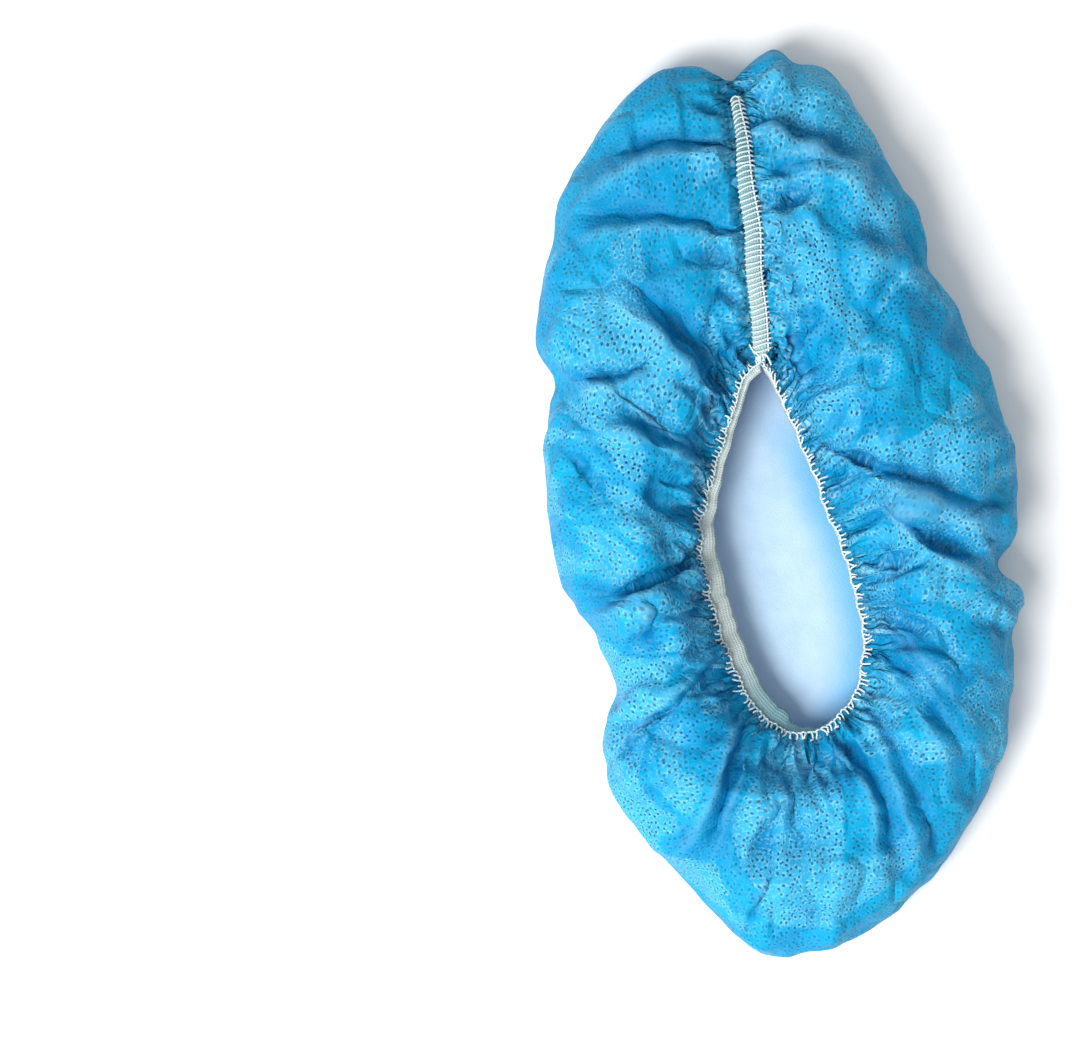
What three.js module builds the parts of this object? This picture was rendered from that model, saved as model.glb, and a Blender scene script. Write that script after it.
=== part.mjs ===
// A disposable shoe cover, lying on its sole as it is stored: a gathered boat-shaped bag of blue
// nonwoven cloth, open at the top where the shoe goes in, with a white sole sheet, an elastic sewn
// round the opening and an elastic sewn on the instep seam.
//
// Millimetres. +Z is up and +Y runs from the heel to the toe. The origin is on the floor, under the
// middle of the cover. The cover is seen from above with its toe up, so -X is its left side.

import * as THREE from "three";

// ---- driving dimensions ----
const WALL = 1.2; // thickness of a layer of cloth, with its loft
const GAP = 0.3; // clearance between pieces that are sewn together

const EDGE_HEIGHT = 11; // how high above the floor the bag is widest
const TUCK = 15; // how far the side turns in under the bag before it lies flat
const CREST_SHARE = 0.47; // where a section is highest, as a share of its way from the opening

const OPENING_ELASTIC = { width: 4, thickness: 1, setBack: 0.4, gap: 0.5 };

// stations are the rows of facets, counted from the opening, that the instep elastic passes over
const INSTEP_ELASTIC = {
  width: 5,
  thickness: 1.1,
  gap: 0.9,
  stations: [0.5, 1, 2, 3, 4, 5, 6, 7, 8, 9, 10],
};

// The edge of the opening, a teardrop with its point at the instep, going round by the left.
// z is the height of the cloth's edge above the floor.
const OPENING = [
  { x: -5.8, y: 51.5, z: 27 },
  { x: -12.5, y: 44, z: 25 },
  { x: -18.3, y: 30, z: 23 },
  { x: -24.5, y: 14, z: 21 },
  { x: -30.5, y: -6, z: 19.5 },
  { x: -29.5, y: -26, z: 18.5 },
  { x: -25, y: -48, z: 18 },
  { x: -18, y: -67, z: 17.5 },
  { x: -8, y: -80, z: 17 },
  { x: 3, y: -84, z: 17 },
  { x: 14, y: -80.5, z: 17 },
  { x: 23.5, y: -69, z: 17.5 },
  { x: 27, y: -51, z: 18 },
  { x: 24, y: -30, z: 18.5 },
  { x: 17.5, y: -7, z: 19.5 },
  { x: 10.5, y: 14, z: 21 },
  { x: 4, y: 31, z: 23 },
  { x: -1.5, y: 44, z: 25 },
  { x: -5.8, y: 51.5, z: 27 },
];

// Radial sections of the bag, from the toe seam round by the left. Each runs from the opening's edge,
// at the share `from` of its length, to the bag's widest point (x, y). crown is its greatest height,
// and inset the way back in from the widest point to the seam round the sole.
const SECTIONS = [
  { from: 0.0, x: -9.5, y: 159.5, crown: 42, inset: 22 },
  { from: 0.018, x: -35, y: 160, crown: 43, inset: 26 },
  { from: 0.042, x: -61, y: 139.5, crown: 44, inset: 27 },
  { from: 0.07, x: -76, y: 115, crown: 44, inset: 27 },
  { from: 0.1, x: -82.5, y: 88, crown: 45, inset: 27 },
  { from: 0.14, x: -86.5, y: 63, crown: 46, inset: 27 },
  { from: 0.19, x: -84.5, y: 37, crown: 46, inset: 27 },
  { from: 0.24, x: -86.5, y: 12, crown: 45, inset: 27 },
  { from: 0.29, x: -84, y: -17, crown: 43, inset: 27 },
  { from: 0.34, x: -75, y: -40, crown: 41, inset: 25 },
  { from: 0.375, x: -65, y: -61, crown: 39, inset: 17 },
  { from: 0.405, x: -70.5, y: -84, crown: 39, inset: 23 },
  { from: 0.43, x: -67.5, y: -103, crown: 39, inset: 25 },
  { from: 0.455, x: -52.5, y: -125.5, crown: 40, inset: 27 },
  { from: 0.475, x: -33, y: -147.5, crown: 41, inset: 27 },
  { from: 0.495, x: -9, y: -165.4, crown: 41, inset: 27 },
  { from: 0.515, x: 19.5, y: -160, crown: 41, inset: 27 },
  { from: 0.54, x: 48, y: -139.5, crown: 40, inset: 27 },
  { from: 0.57, x: 69.5, y: -109, crown: 40, inset: 27 },
  { from: 0.61, x: 79.5, y: -81, crown: 41, inset: 27 },
  { from: 0.655, x: 82, y: -54, crown: 42, inset: 27 },
  { from: 0.71, x: 84, y: -22, crown: 44, inset: 27 },
  { from: 0.77, x: 86.5, y: 6, crown: 46, inset: 27 },
  { from: 0.83, x: 80, y: 38, crown: 47, inset: 27 },
  { from: 0.88, x: 67, y: 70, crown: 46, inset: 27 },
  { from: 0.92, x: 57, y: 101, crown: 45, inset: 27 },
  { from: 0.95, x: 41, y: 134, crown: 44, inset: 27 },
  { from: 0.972, x: 25, y: 157.5, crown: 43, inset: 27 },
  { from: 0.988, x: 5, y: 165.2, crown: 42, inset: 26 },
];

// The main folds, each a stroke in plan from (x, y) to (toX, toY) with its middle set `bend` to the
// left of that way. rise is its height at the middle, less than 0 for a valley, and width its half
// width. edge is how far it pushes the bag's widest outline out where it reaches it.
const FOLDS = [
  // the instep seam, drawn down by its elastic, and the notch that it leaves in the toe
  { x: -5.8, y: 60, toX: -10.5, toY: 170, bend: 0, width: 9, rise: -9, edge: -3.5 },
  // left of the instep seam
  { x: -8, y: 128, toX: -78, toY: 116, bend: -9, width: 10, rise: -5, edge: 0 },
  { x: -10, y: 110, toX: -70, toY: 113, bend: -6, width: 8, rise: 3, edge: 0 },
  { x: -8, y: 97, toX: -84, toY: 106, bend: -5, width: 9, rise: -5, edge: -2.5 },
  { x: -12, y: 85, toX: -58, toY: 88, bend: 5, width: 8, rise: 3, edge: 0 },
  { x: -16, y: 36, toX: -66, toY: 92, bend: -3, width: 10, rise: -7, edge: 0 },
  { x: -33, y: 24, toX: -76, toY: 53, bend: 0, width: 9, rise: 3, edge: 0 },
  { x: -56, y: 50, toX: -92, toY: 49, bend: 2, width: 8, rise: -5, edge: -4.5 },
  { x: -24, y: 10, toX: -68, toY: 38, bend: -2, width: 8, rise: -5, edge: 0 },
  // left of the opening
  { x: -30, y: -16, toX: -80, toY: -36, bend: 2, width: 9, rise: -6, edge: 0 },
  { x: -28, y: -46, toX: -54, toY: -78, bend: 2, width: 8, rise: -3, edge: 0 },
  { x: -25, y: -56, toX: -66, toY: -97, bend: 0, width: 8, rise: -4, edge: 0 },
  // round the heel
  { x: -20, y: -78, toX: -38, toY: -134, bend: 1, width: 9, rise: -6, edge: -2 },
  { x: -8, y: -88, toX: -14, toY: -128, bend: 1, width: 8, rise: -3, edge: 0 },
  { x: 13, y: -84, toX: 29, toY: -132, bend: 5, width: 8, rise: -4, edge: 0 },
  { x: 22, y: -76, toX: 46, toY: -136, bend: 4, width: 8, rise: -4, edge: 0 },
  { x: 27, y: -52, toX: 64, toY: -106, bend: 3, width: 9, rise: -4, edge: 0 },
  { x: 27, y: -37, toX: 74, toY: -84, bend: 4, width: 9, rise: -4, edge: -2 },
  // right of the opening
  { x: 30, y: -5, toX: 84, toY: -27, bend: 2, width: 8, rise: -7, edge: -7 },
  { x: 13, y: 21, toX: 84, toY: -4, bend: 1, width: 9, rise: -6, edge: 1 },
  { x: 8, y: 38, toX: 52, toY: 48, bend: 4, width: 9, rise: -3, edge: 0 },
  // right of the instep seam
  { x: 2, y: 140, toX: 50, toY: 108, bend: 6, width: 10, rise: -5, edge: 0 },
  { x: -3, y: 115, toX: 52, toY: 92, bend: 10, width: 9, rise: -4, edge: 0 },
  { x: 30, y: 96, toX: 70, toY: 74, bend: 2, width: 10, rise: -4, edge: -3 },
];

const COLUMNS_PER_SECTION = 4;
const TOP_ROWS = 12; // rows of facets from the opening to the widest outline
const UNDER_ROWS = 5; // and from there to the sole's seam

// ---- interpolation ----

// The value of a column of SECTIONS at a place counted in sections, going round without an end.
function sectionValue(column, place) {
  const n = SECTIONS.length;
  const k = Math.floor(place);
  const t = place - k;
  const wrap = column === "from" ? 1 : 0;
  const at = (i) =>
    SECTIONS[((i % n) + n) % n][column] + wrap * Math.floor(i / n);
  const [a, b, c, d] = [at(k - 1), at(k), at(k + 1), at(k + 2)];
  return (
    b + 0.5 * t * (c - a + t * (2 * a - 5 * b + 4 * c - d + t * (3 * (b - c) + d - a)))
  );
}

const openingCurve = new THREE.CatmullRomCurve3(
  OPENING.map((p) => new THREE.Vector3(p.x, p.y, p.z)),
);
openingCurve.arcLengthDivisions = 600;

const smooth = (low, high, x) => {
  const t = Math.min(1, Math.max(0, (x - low) / (high - low)));
  return t * t * (3 - 2 * t);
};

// ---- folds ----

// How near a point in plan is to a fold: its distance from the stroke in fold widths, and how much of
// the fold is left there, 1 along most of the stroke and fading past its ends.
function nearFold(fold, x, y) {
  const alongX = fold.toX - fold.x;
  const alongY = fold.toY - fold.y;
  const length = Math.hypot(alongX, alongY);
  const s = ((x - fold.x) * alongX + (y - fold.y) * alongY) / length ** 2;
  const side = (alongX * (y - fold.y) - alongY * (x - fold.x)) / length;
  const bow = fold.bend * 4 * s * (1 - s);
  const fade = smooth(-0.12, 0.12, s) * (1 - smooth(0.8, 1.12, s));
  return { across: (side - bow) / fold.width, fade };
}

// A fold in section: a rounded ridge or valley with low shoulders.
const foldShape = (across) =>
  (1 - 0.45 * across * across) * Math.exp(-across * across);

function foldRise(x, y) {
  let rise = 0;
  for (const fold of FOLDS) {
    const { across, fade } = nearFold(fold, x, y);
    rise += fold.rise * fade * foldShape(across);
  }
  return rise;
}

function edgePush(x, y) {
  let push = 0;
  for (const fold of FOLDS) {
    if (fold.edge === 0) continue;
    const { across, fade } = nearFold(fold, x, y);
    push += fold.edge * fade * Math.exp(-across * across);
  }
  return push;
}

// ---- the cloth's outer face ----

// A radial section of the bag: its start on the opening, and its widest point with the folds' nicks.
function sectionAt(place) {
  const start = openingCurve.getPointAt(
    ((sectionValue("from", place) % 1) + 1) % 1,
  );
  const x = sectionValue("x", place);
  const y = sectionValue("y", place);
  const reach = Math.hypot(x - start.x, y - start.y);
  const outX = (x - start.x) / reach;
  const outY = (y - start.y) / reach;
  const [crown, inset] = ["crown", "inset"].map((column) => sectionValue(column, place));
  return { start, outX, outY, reach, push: edgePush(x, y), crown, inset };
}

// A point of the section's smooth form over the top. t is 0 at the opening and 1 at the widest outline.
function topPoint(section, t) {
  const { start, outX, outY, reach, push, crown } = section;
  let z;
  if (t < CREST_SHARE) {
    z = start.z + (crown - start.z) * Math.sin((Math.PI / 2) * (t / CREST_SHARE));
  } else {
    const fall = (t - CREST_SHARE) / (1 - CREST_SHARE);
    z = EDGE_HEIGHT + (crown - EDGE_HEIGHT) * Math.sqrt(Math.max(0, 1 - fall ** 2.4));
  }
  const out = (reach + push) * t;
  return new THREE.Vector3(start.x + outX * out, start.y + outY * out, z);
}

// A point under the bag. t is 0 at the widest outline and 1 at the sole's seam, where the folds' nicks
// in the outline have run out.
const CURL_SHARE = 0.6; // the share of the under side that curls before it lies flat
function underPoint(section, t) {
  const { start, outX, outY, reach, push, inset } = section;
  const curl = Math.min(1, t / CURL_SHARE) * (Math.PI / 2);
  const flat = Math.max(0, t - CURL_SHARE) / (1 - CURL_SHARE);
  const back = TUCK * (1 - Math.cos(curl)) + (inset - TUCK) * flat;
  const out = reach + push * (1 - t) - back;
  return new THREE.Vector3(
    start.x + outX * out,
    start.y + outY * out,
    EDGE_HEIGHT * (1 - Math.sin(curl)),
  );
}

// The cloth's outer face as columns of points, from the opening's edge to the sole's seam.
function clothColumns() {
  const columns = [];
  for (let i = 0; i < SECTIONS.length * COLUMNS_PER_SECTION; i++) {
    const section = sectionAt(i / COLUMNS_PER_SECTION);
    const column = [];
    for (let j = 0; j <= TOP_ROWS; j++) {
      // rows crowd towards the widest outline, where the cloth turns most
      const t = Math.sin((Math.PI / 2) * (j / TOP_ROWS) ** 1.15);
      const point = topPoint(section, t);
      const hold = smooth(0, 0.12, t) * (1 - 0.85 * smooth(0.8, 1, t));
      point.z += foldRise(point.x, point.y) * hold;
      column.push(point);
    }
    for (let j = 1; j <= UNDER_ROWS; j++) {
      column.push(underPoint(section, j / UNDER_ROWS));
    }
    columns.push(column);
  }
  return columns;
}

// Normals of a grid of columns that goes round, facing away from the bag's inside.
function gridNormals(columns) {
  const n = columns.length;
  return columns.map((column, i) =>
    column.map((_, j) => {
      const before = columns[(i + n - 1) % n][j];
      const after = columns[(i + 1) % n][j];
      const inner = column[Math.max(0, j - 1)];
      const outer = column[Math.min(column.length - 1, j + 1)];
      return new THREE.Vector3()
        .subVectors(outer, inner)
        .cross(new THREE.Vector3().subVectors(after, before))
        .normalize();
    }),
  );
}

// ---- meshes from grids ----

// A closed solid between two grids of columns, `face` outside and `back` inside, that go all round.
function shellBetween(face, back) {
  const rounds = face.length;
  const rows = face[0].length;
  const position = [...face.flat(), ...back.flat()].flatMap((p) => p.toArray());
  const at = (i, j, inside) => (inside * rounds + (i % rounds)) * rows + j;
  const index = [];
  const quad = (a, b, c, d) => index.push(a, b, c, a, c, d);
  for (let i = 0; i < rounds; i++) {
    for (let j = 0; j < rows - 1; j++) {
      quad(at(i, j, 0), at(i, j + 1, 0), at(i + 1, j + 1, 0), at(i + 1, j, 0));
      quad(at(i, j, 1), at(i + 1, j, 1), at(i + 1, j + 1, 1), at(i, j + 1, 1));
    }
    const last = rows - 1;
    quad(at(i, 0, 0), at(i + 1, 0, 0), at(i + 1, 0, 1), at(i, 0, 1));
    quad(at(i, last, 0), at(i, last, 1), at(i + 1, last, 1), at(i + 1, last, 0));
  }
  const geometry = new THREE.BufferGeometry();
  geometry.setAttribute("position", new THREE.Float32BufferAttribute(position, 3));
  geometry.setIndex(index);
  return geometry;
}

const shifted = (points, normals, by) =>
  points.map((column, i) =>
    column.map((p, j) => p.clone().addScaledVector(normals[i][j], by)),
  );

// ---- the pieces ----

const outerFace = clothColumns();
const outerNormals = gridNormals(outerFace);
const innerFace = clothInside();

// The cloth's inner face. Its flat part under the bag is exactly level, so that it lies on the floor.
function clothInside() {
  const inner = shifted(outerFace, outerNormals, -WALL);
  const flatFrom = TOP_ROWS + Math.ceil(UNDER_ROWS * CURL_SHARE);
  inner.forEach((column, i) => {
    for (let j = flatFrom; j < column.length; j++) {
      const below = outerFace[i][j];
      column[j].set(below.x, below.y, below.z + WALL);
    }
  });
  return inner;
}

// The cloth body.
function upper() {
  return shellBetween(outerFace, innerFace);
}

// The sole sheet, cut to the seam line of the cloth body.
function sole() {
  const rim = outerFace.map((column, i) => {
    const seam = column.at(-1);
    const section = sectionAt(i / COLUMNS_PER_SECTION);
    return new THREE.Vector2(seam.x - section.outX * GAP, seam.y - section.outY * GAP);
  });
  return new THREE.ExtrudeGeometry(new THREE.Shape(rim), {
    depth: WALL,
    bevelEnabled: false,
  });
}

// The elastic round the opening: a flat band that lies against the cloth's inner face at its edge.
function openingElastic() {
  const { width, thickness, setBack, gap } = OPENING_ELASTIC;
  const band = innerFace.map((column) => {
    const toNext = column[0].distanceTo(column[1]);
    return [setBack, setBack + width].map((by) =>
      column[0].clone().lerp(column[1], by / toNext),
    );
  });
  const normals = outerNormals.map((column) => [column[0], column[0]]);
  return shellBetween(
    shifted(band, normals, -gap),
    shifted(band, normals, -(gap + thickness)),
  );
}

// The elastic on the instep seam: a flat band that lies over the seam from the opening to the toe.
function instepElastic() {
  const { width, thickness, gap, stations } = INSTEP_ELASTIC;
  const rings = stations.map((station) => {
    const line = [1, 0.5, 0, -0.5, -1].map((share) =>
      besideSeam(station, (Math.abs(share) * width) / 2, share < 0 ? -1 : 1),
    );
    const at = (height) => (p) => p.point.clone().addScaledVector(p.normal, height);
    return [...line.map(at(gap)), ...line.toReversed().map(at(gap + thickness))];
  });
  return ringsToSolid(rings);
}

// A place on the cloth's outer face beside the instep seam: `station` is counted in rows from the
// opening, and `distance` is measured over the cloth, to the left where side is 1.
function besideSeam(station, distance, side) {
  const row = Math.min(Math.floor(station), TOP_ROWS - 1);
  const [near, far] = [row, row + 1].map((j) => besideSeamInRow(j, distance, side));
  return {
    point: near.point.lerp(far.point, station - row),
    normal: near.normal.lerp(far.normal, station - row).normalize(),
  };
}

function besideSeamInRow(j, distance, side) {
  const rounds = outerFace.length;
  let left = distance;
  for (let i = 0; ; i += side) {
    const [here, next] = [i, i + side].map((k) => (k + rounds) % rounds);
    const step = outerFace[here][j].distanceTo(outerFace[next][j]);
    if (left <= step) {
      return {
        point: outerFace[here][j].clone().lerp(outerFace[next][j], left / step),
        normal: outerNormals[here][j].clone().lerp(outerNormals[next][j], left / step),
      };
    }
    left -= step;
  }
}

// A closed solid through rings of points, with a flat cap on the first and the last ring.
function ringsToSolid(rings) {
  const sides = rings[0].length;
  const index = [];
  for (let k = 0; k < rings.length - 1; k++) {
    for (let side = 0; side < sides; side++) {
      const [a, b] = [k * sides + side, k * sides + ((side + 1) % sides)];
      index.push(a, b + sides, b, a, a + sides, b + sides);
    }
  }
  const last = (rings.length - 1) * sides;
  for (let side = 1; side < sides - 1; side++) {
    index.push(0, side, side + 1);
    index.push(last, last + side + 1, last + side);
  }
  const geometry = new THREE.BufferGeometry();
  const position = rings.flat().flatMap((p) => p.toArray());
  geometry.setAttribute("position", new THREE.Float32BufferAttribute(position, 3));
  geometry.setIndex(index);
  return geometry;
}

// ---- the cover ----

function finish(color, roughness) {
  return new THREE.MeshStandardMaterial({ color, roughness, metalness: 0 });
}

function piece(name, geometry, material) {
  const mesh = new THREE.Mesh(geometry, material);
  mesh.name = name;
  return mesh;
}

const blueNonwoven = finish("#1fa6e4", 0.75);
const whiteCoatedSheet = finish("#e6f1f6", 0.6);
const creamElastic = finish("#b9c8ae", 0.8);

const shoeCover = new THREE.Group();
shoeCover.add(
  piece("upper", upper(), blueNonwoven),
  piece("sole", sole(), whiteCoatedSheet),
  piece("opening_elastic", openingElastic(), creamElastic),
  piece("instep_elastic", instepElastic(), creamElastic),
);

export default shoeCover;
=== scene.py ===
import math
import bpy
import numpy as np
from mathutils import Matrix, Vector


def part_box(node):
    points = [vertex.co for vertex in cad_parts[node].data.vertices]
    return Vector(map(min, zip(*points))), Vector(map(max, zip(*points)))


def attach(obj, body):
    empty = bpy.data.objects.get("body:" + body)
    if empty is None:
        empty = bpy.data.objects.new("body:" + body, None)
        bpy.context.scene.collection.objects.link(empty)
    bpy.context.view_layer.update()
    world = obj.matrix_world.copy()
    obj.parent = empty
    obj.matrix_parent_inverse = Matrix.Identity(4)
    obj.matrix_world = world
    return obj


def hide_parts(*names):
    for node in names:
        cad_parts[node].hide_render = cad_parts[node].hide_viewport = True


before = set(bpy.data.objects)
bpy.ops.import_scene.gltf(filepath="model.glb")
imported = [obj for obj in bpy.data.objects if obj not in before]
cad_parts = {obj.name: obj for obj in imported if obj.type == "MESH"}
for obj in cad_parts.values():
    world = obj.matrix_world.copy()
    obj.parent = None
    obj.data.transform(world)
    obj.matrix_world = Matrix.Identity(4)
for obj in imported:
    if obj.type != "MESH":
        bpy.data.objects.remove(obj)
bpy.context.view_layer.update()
MM = 0.001

# ---------------------------------------------------------------------------------------------
# The upper. One oval panel of sky blue spunbond polypropylene nonwoven, cut far larger than the
# foot. Elastic gathers its inner edge into the opening and the instep seam draws its front edges
# together, so the cloth stands up in puffs with sharp creases between. Sizes are millimetres.

# the edge of the opening, from the front point by the left side and round the heel
OPENING = [
    # x, y, height above the floor
    (-5.8, 51.5, 27), (-12.0, 46.5, 25.5), (-15.3, 38.5, 24), (-19.5, 27.5, 22.5), (-24.5, 14, 21),
    (-28.6, 1, 20), (-30.8, -9, 19.3), (-29.6, -26, 18.5), (-25, -48, 18), (-18, -67, 17.5),
    (-12.8, -75.5, 17.2), (-4.6, -82.5, 17), (3, -84, 17), (10.5, -82.5, 17), (18.3, -76.3, 17.2),
    (23.8, -68, 17.5), (27, -51, 18), (24.6, -33, 18.5), (20, -14.5, 19.3), (15, 0.5, 20),
    (10.3, 14.5, 21), (5.4, 28, 22.5), (0.4, 39.5, 24), (-3.3, 47.5, 25.7), (-5.8, 51.5, 27),
]

# the widest edge of the bag: where on the opening each section starts, as a share of the way
# round, where it ends, and how high the cloth stands between the two
SECTIONS = [
    # from, x, y, crown
    (0.000, -10.5, 158.5, 42), (0.010, -22, 160.5, 43), (0.022, -37, 160, 43), (0.036, -53, 148, 44),
    (0.052, -66, 132, 44), (0.070, -76, 115, 44), (0.085, -79, 99, 45), (0.105, -84.5, 82, 45),
    (0.135, -86.6, 64, 46), (0.165, -82.5, 51, 46), (0.195, -84, 36, 46), (0.240, -86.5, 13, 45),
    (0.290, -84, -17, 43), (0.325, -77.5, -34, 42), (0.350, -70.5, -46, 40), (0.375, -65, -62, 39),
    (0.395, -68.5, -77, 39), (0.410, -70.6, -91, 39), (0.430, -66.5, -105, 39), (0.450, -55.5, -122, 40),
    (0.470, -39.5, -140, 41), (0.483, -26.5, -156, 41), (0.493, -12, -165, 41), (0.508, 7, -163.7, 41),
    (0.520, 24, -157, 41), (0.535, 41, -145, 40), (0.550, 54, -132, 40), (0.570, 69, -110, 40),
    (0.595, 76.5, -93.5, 41), (0.625, 80.5, -70, 42), (0.655, 82.5, -52, 42), (0.685, 85, -37, 43),
    (0.710, 80, -27, 44), (0.730, 84.5, -14, 45), (0.770, 86.6, 7, 46), (0.830, 80.5, 36, 47),
    (0.875, 68, 66.5, 46), (0.905, 60, 86, 46), (0.925, 57.5, 100, 45), (0.943, 46.5, 121, 45),
    (0.960, 35.5, 142.5, 44), (0.972, 27, 156, 44), (0.981, 15, 161, 43), (0.990, 5, 165.4, 43),
]

# the main folds: a valley sinks by rise and a ridge stands up by it, along a line that bows
# sideways by bend, and edge moves the bag's outline where the fold comes out
FOLDS = [
    # x, y, to_x, to_y, bend, width, rise, edge
    (-5.8, 58, -14, 240, 0, 5, -4, -3),
    (-9, 140, -30, 152, 2, 5, -2, 0),
    (-7.5, 127, -80, 114, -11, 11.5, -5, -1.5),
    (-12, 120, -77, 108, -9, 7, 2, 1),
    (-8, 96, -82, 103, -7, 10.5, -4, -2),
    (-14, 86, -40, 89, -2.5, 6.5, -2, 0),
    (-16, 36, -62, 92, -3, 15.5, -5, 0),
    (-34, 23, -75, 52, 0, 8, 2, 0),
    (-48, 52, -90, 49, 2, 9, -4, -4),
    (-22, 12, -66, 40, -2, 11.5, -3.75, 0),
    (-29, -14, -82, -31, 3, 9, -3.75, 0),
    (-33, -22, -74, -38, -3, 8, -2.75, 0),
    (-33, -36, -42, -47, 0, 5, -1.5, 0),
    (-29, -44, -40, -58, 0, 5, -1.5, 0),
    (-50, -35, -53, -52, 0, 6.5, -2, 0),
    (-28, -56, -65, -95, -2, 9, -2.75, 0),
    (-20, -77, -39, -131, 2, 11.5, -5, -1),
    (-15, -86, -34, -126, 1, 5, 1.5, 0),
    (-9, -108, -19, -134, 0, 6.5, -2, 0),
    (-9.5, -88, -10, -108, 0, 6.5, -2, 0),
    (-5, -96, -1, -128, 0, 8, -2, 0),
    (15, -86, 30, -133, 6, 9, -3.75, 0),
    (27, -76, 48, -140, 4, 9, -2.75, 0),
    (28, -51, 66, -109, 3, 10.5, -2.75, 0),
    (27, -34, 76, -84, 3, 11.5, -2.75, 0),
    (29, -41, 58, -78, 2, 6.5, -2, 0),
    (33, 0, 80, -17, -1, 6, 2, 2),
    (33, -1, 79, -27, -4, 9, -5.25, -6),
    (13, 21, 86, -8, -1.5, 10.5, -5.25, 0),
    (23, -13, 33, -5, 0, 5, -1.5, 0),
    (25, -23, 46, -27, 2, 6.5, -2, 0),
    (8, 38, 44, 46, 4, 13, -1.5, 0),
    (-5, 138, 48, 112, 4, 11.5, -4, 0),
    (-4, 122, 34, 119, 3, 5, 2, 0),
    (-4, 117, 31, 117, 2.5, 6.5, -2.5, 0),
    (6, 119, 49, 88, 7, 6, 2, 0),
    (-4, 96, 18, 109, 0, 5, 2, 0),
    (-4, 104, 16, 113, 0, 6.5, -2.5, 0),
    (30, 96, 72, 72, 2, 15.5, -2, -2),
]

EDGE_HEIGHT = 11.0  # where the bag is widest, above the floor
TUCK = 15.0  # how far the side curls in under the bag
HEM_INSET = 26.0  # from the widest edge in to the seam with the sole
UNDER_WIDTH = 20.0  # of the cloth from the widest edge to that seam
CURL_SHARE = 0.6  # of the cloth under the bag, the rest lies flat
RISE_SHARE = 0.42  # of the way out, the cloth climbs from the opening's edge to its crown
FALL_START = 0.40
FALL_POWER = 2.6
PINCH = 0.5  # how far a valley draws the cloth beside it together
LEAN = (-0.75, -0.66)  # the folds lean this way: the wall of a valley on this side is steep
STEEP = 0.7  # how wide that wall is, in widths of the fold
CLOTH_THICKNESS = 0.5
chance = np.random.default_rng(7)


def smooth(low, high, x):
    t = np.clip((x - low) / (high - low), 0, 1)
    return t * t * (3 - 2 * t)


def spline_weights(t, a, b, c, d):
    return b + 0.5 * t * (c - a + t * (2 * a - 5 * b + 4 * c - d + t * (3 * (b - c) + d - a)))


def spline(points, n):
    p = np.array(points, float)
    p = np.vstack([2 * p[0] - p[1], p, 2 * p[-1] - p[-2]])
    place = np.linspace(0, len(points) - 1 - 1e-9, n)
    k = place.astype(int)
    return spline_weights((place - k)[:, None], p[k], p[k + 1], p[k + 2], p[k + 3])


def run_along(points):
    # how far along a line each of its points is
    return np.r_[0, np.cumsum(np.linalg.norm(np.diff(points, axis=0), axis=1))]


def points_at(at, run, points):
    # the points of a line at those distances along it
    return np.stack([np.interp(at, run, points[:, i]) for i in range(3)], 1)


def closed_spline(values, place, gain=0.0):
    # one column of SECTIONS at any place round the bag; gain is what it grows by in a round
    n = len(values)
    v = np.array(values, float)
    k = np.floor(place).astype(int)
    return spline_weights(place - k, *(v[i % n] + gain * (i // n) for i in (k - 1, k, k + 1, k + 2)))


def across_fold(fold, x, y):
    # how far each point is from the fold's line in its widths, the fold's strength there, and
    # the direction across it
    from_x, from_y, to_x, to_y, bend, width = fold[:6]
    along_x, along_y = to_x - from_x, to_y - from_y
    length = np.hypot(along_x, along_y)
    share = ((x - from_x) * along_x + (y - from_y) * along_y) / length**2
    side = (along_x * (y - from_y) - along_y * (x - from_x)) / length
    bow = bend * 4 * share * (1 - share)
    strength = smooth(-0.08, 0.10, share) * (1 - smooth(0.55, 1.15, share))
    wide = width * (0.65 + 0.6 * np.clip(share, 0, 1))
    return (side - bow) / wide, strength, -along_y / length, along_x / length


def short_fold(start, way, turn, length, width, depth, edge=0.0):
    # a small valley from start, at random within the ranges given
    angle = math.atan2(way[1], way[0]) + math.radians(chance.normal(0, turn))
    long = chance.uniform(*length)
    end = (start[0] + long * math.cos(angle), start[1] + long * math.sin(angle))
    bend, wide, deep = chance.normal(0, 0.04 * long), chance.uniform(*width), chance.uniform(*depth)
    return (*start, *end, bend, wide, -deep, -edge * chance.uniform(0.3, 1.3))


# The gathers: short folds that start at the elastic, at the instep seam and at the widest edge.
# The last kind belongs to the form, and the first two are pressed in once the cloth has settled.
GATHERS_ROUND, GATHERS_AT_SEAM, GATHERS_AT_EDGE = 96, 24, 46
SEAM_GATHER_PITCH = 4.0
# how many degrees they turn at random, their ranges of length, width and depth, and how much of
# the depth moves the outline
RIM_GATHER = (13, (9, 34), (1.8, 3.8), (0.7, 2.0))
SEAM_GATHER = (16, (8, 28), (1.8, 3.8), (0.6, 1.8))
EDGE_GATHER = (22, (12, 34), (2.8, 6.0), (0.7, 2.2), 0.45)
GATHERS = []
rim = spline(OPENING, GATHERS_ROUND * 5)[:, :2]
for k in range(0, len(rim), 5):
    way = rim[(k + 4) % len(rim)] - rim[k - 4]
    GATHERS.append(short_fold(rim[k], (way[1], -way[0]), *RIM_GATHER))
for k in range(GATHERS_AT_SEAM):
    for side in (-1, 1):
        seam_x = -7 + 1.5 * side - 0.08 * k
        start = (seam_x, 68 + SEAM_GATHER_PITCH * k + chance.uniform(-1.5, 1.5))
        GATHERS.append(short_fold(start, (side, 0.15), *SEAM_GATHER))
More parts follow.
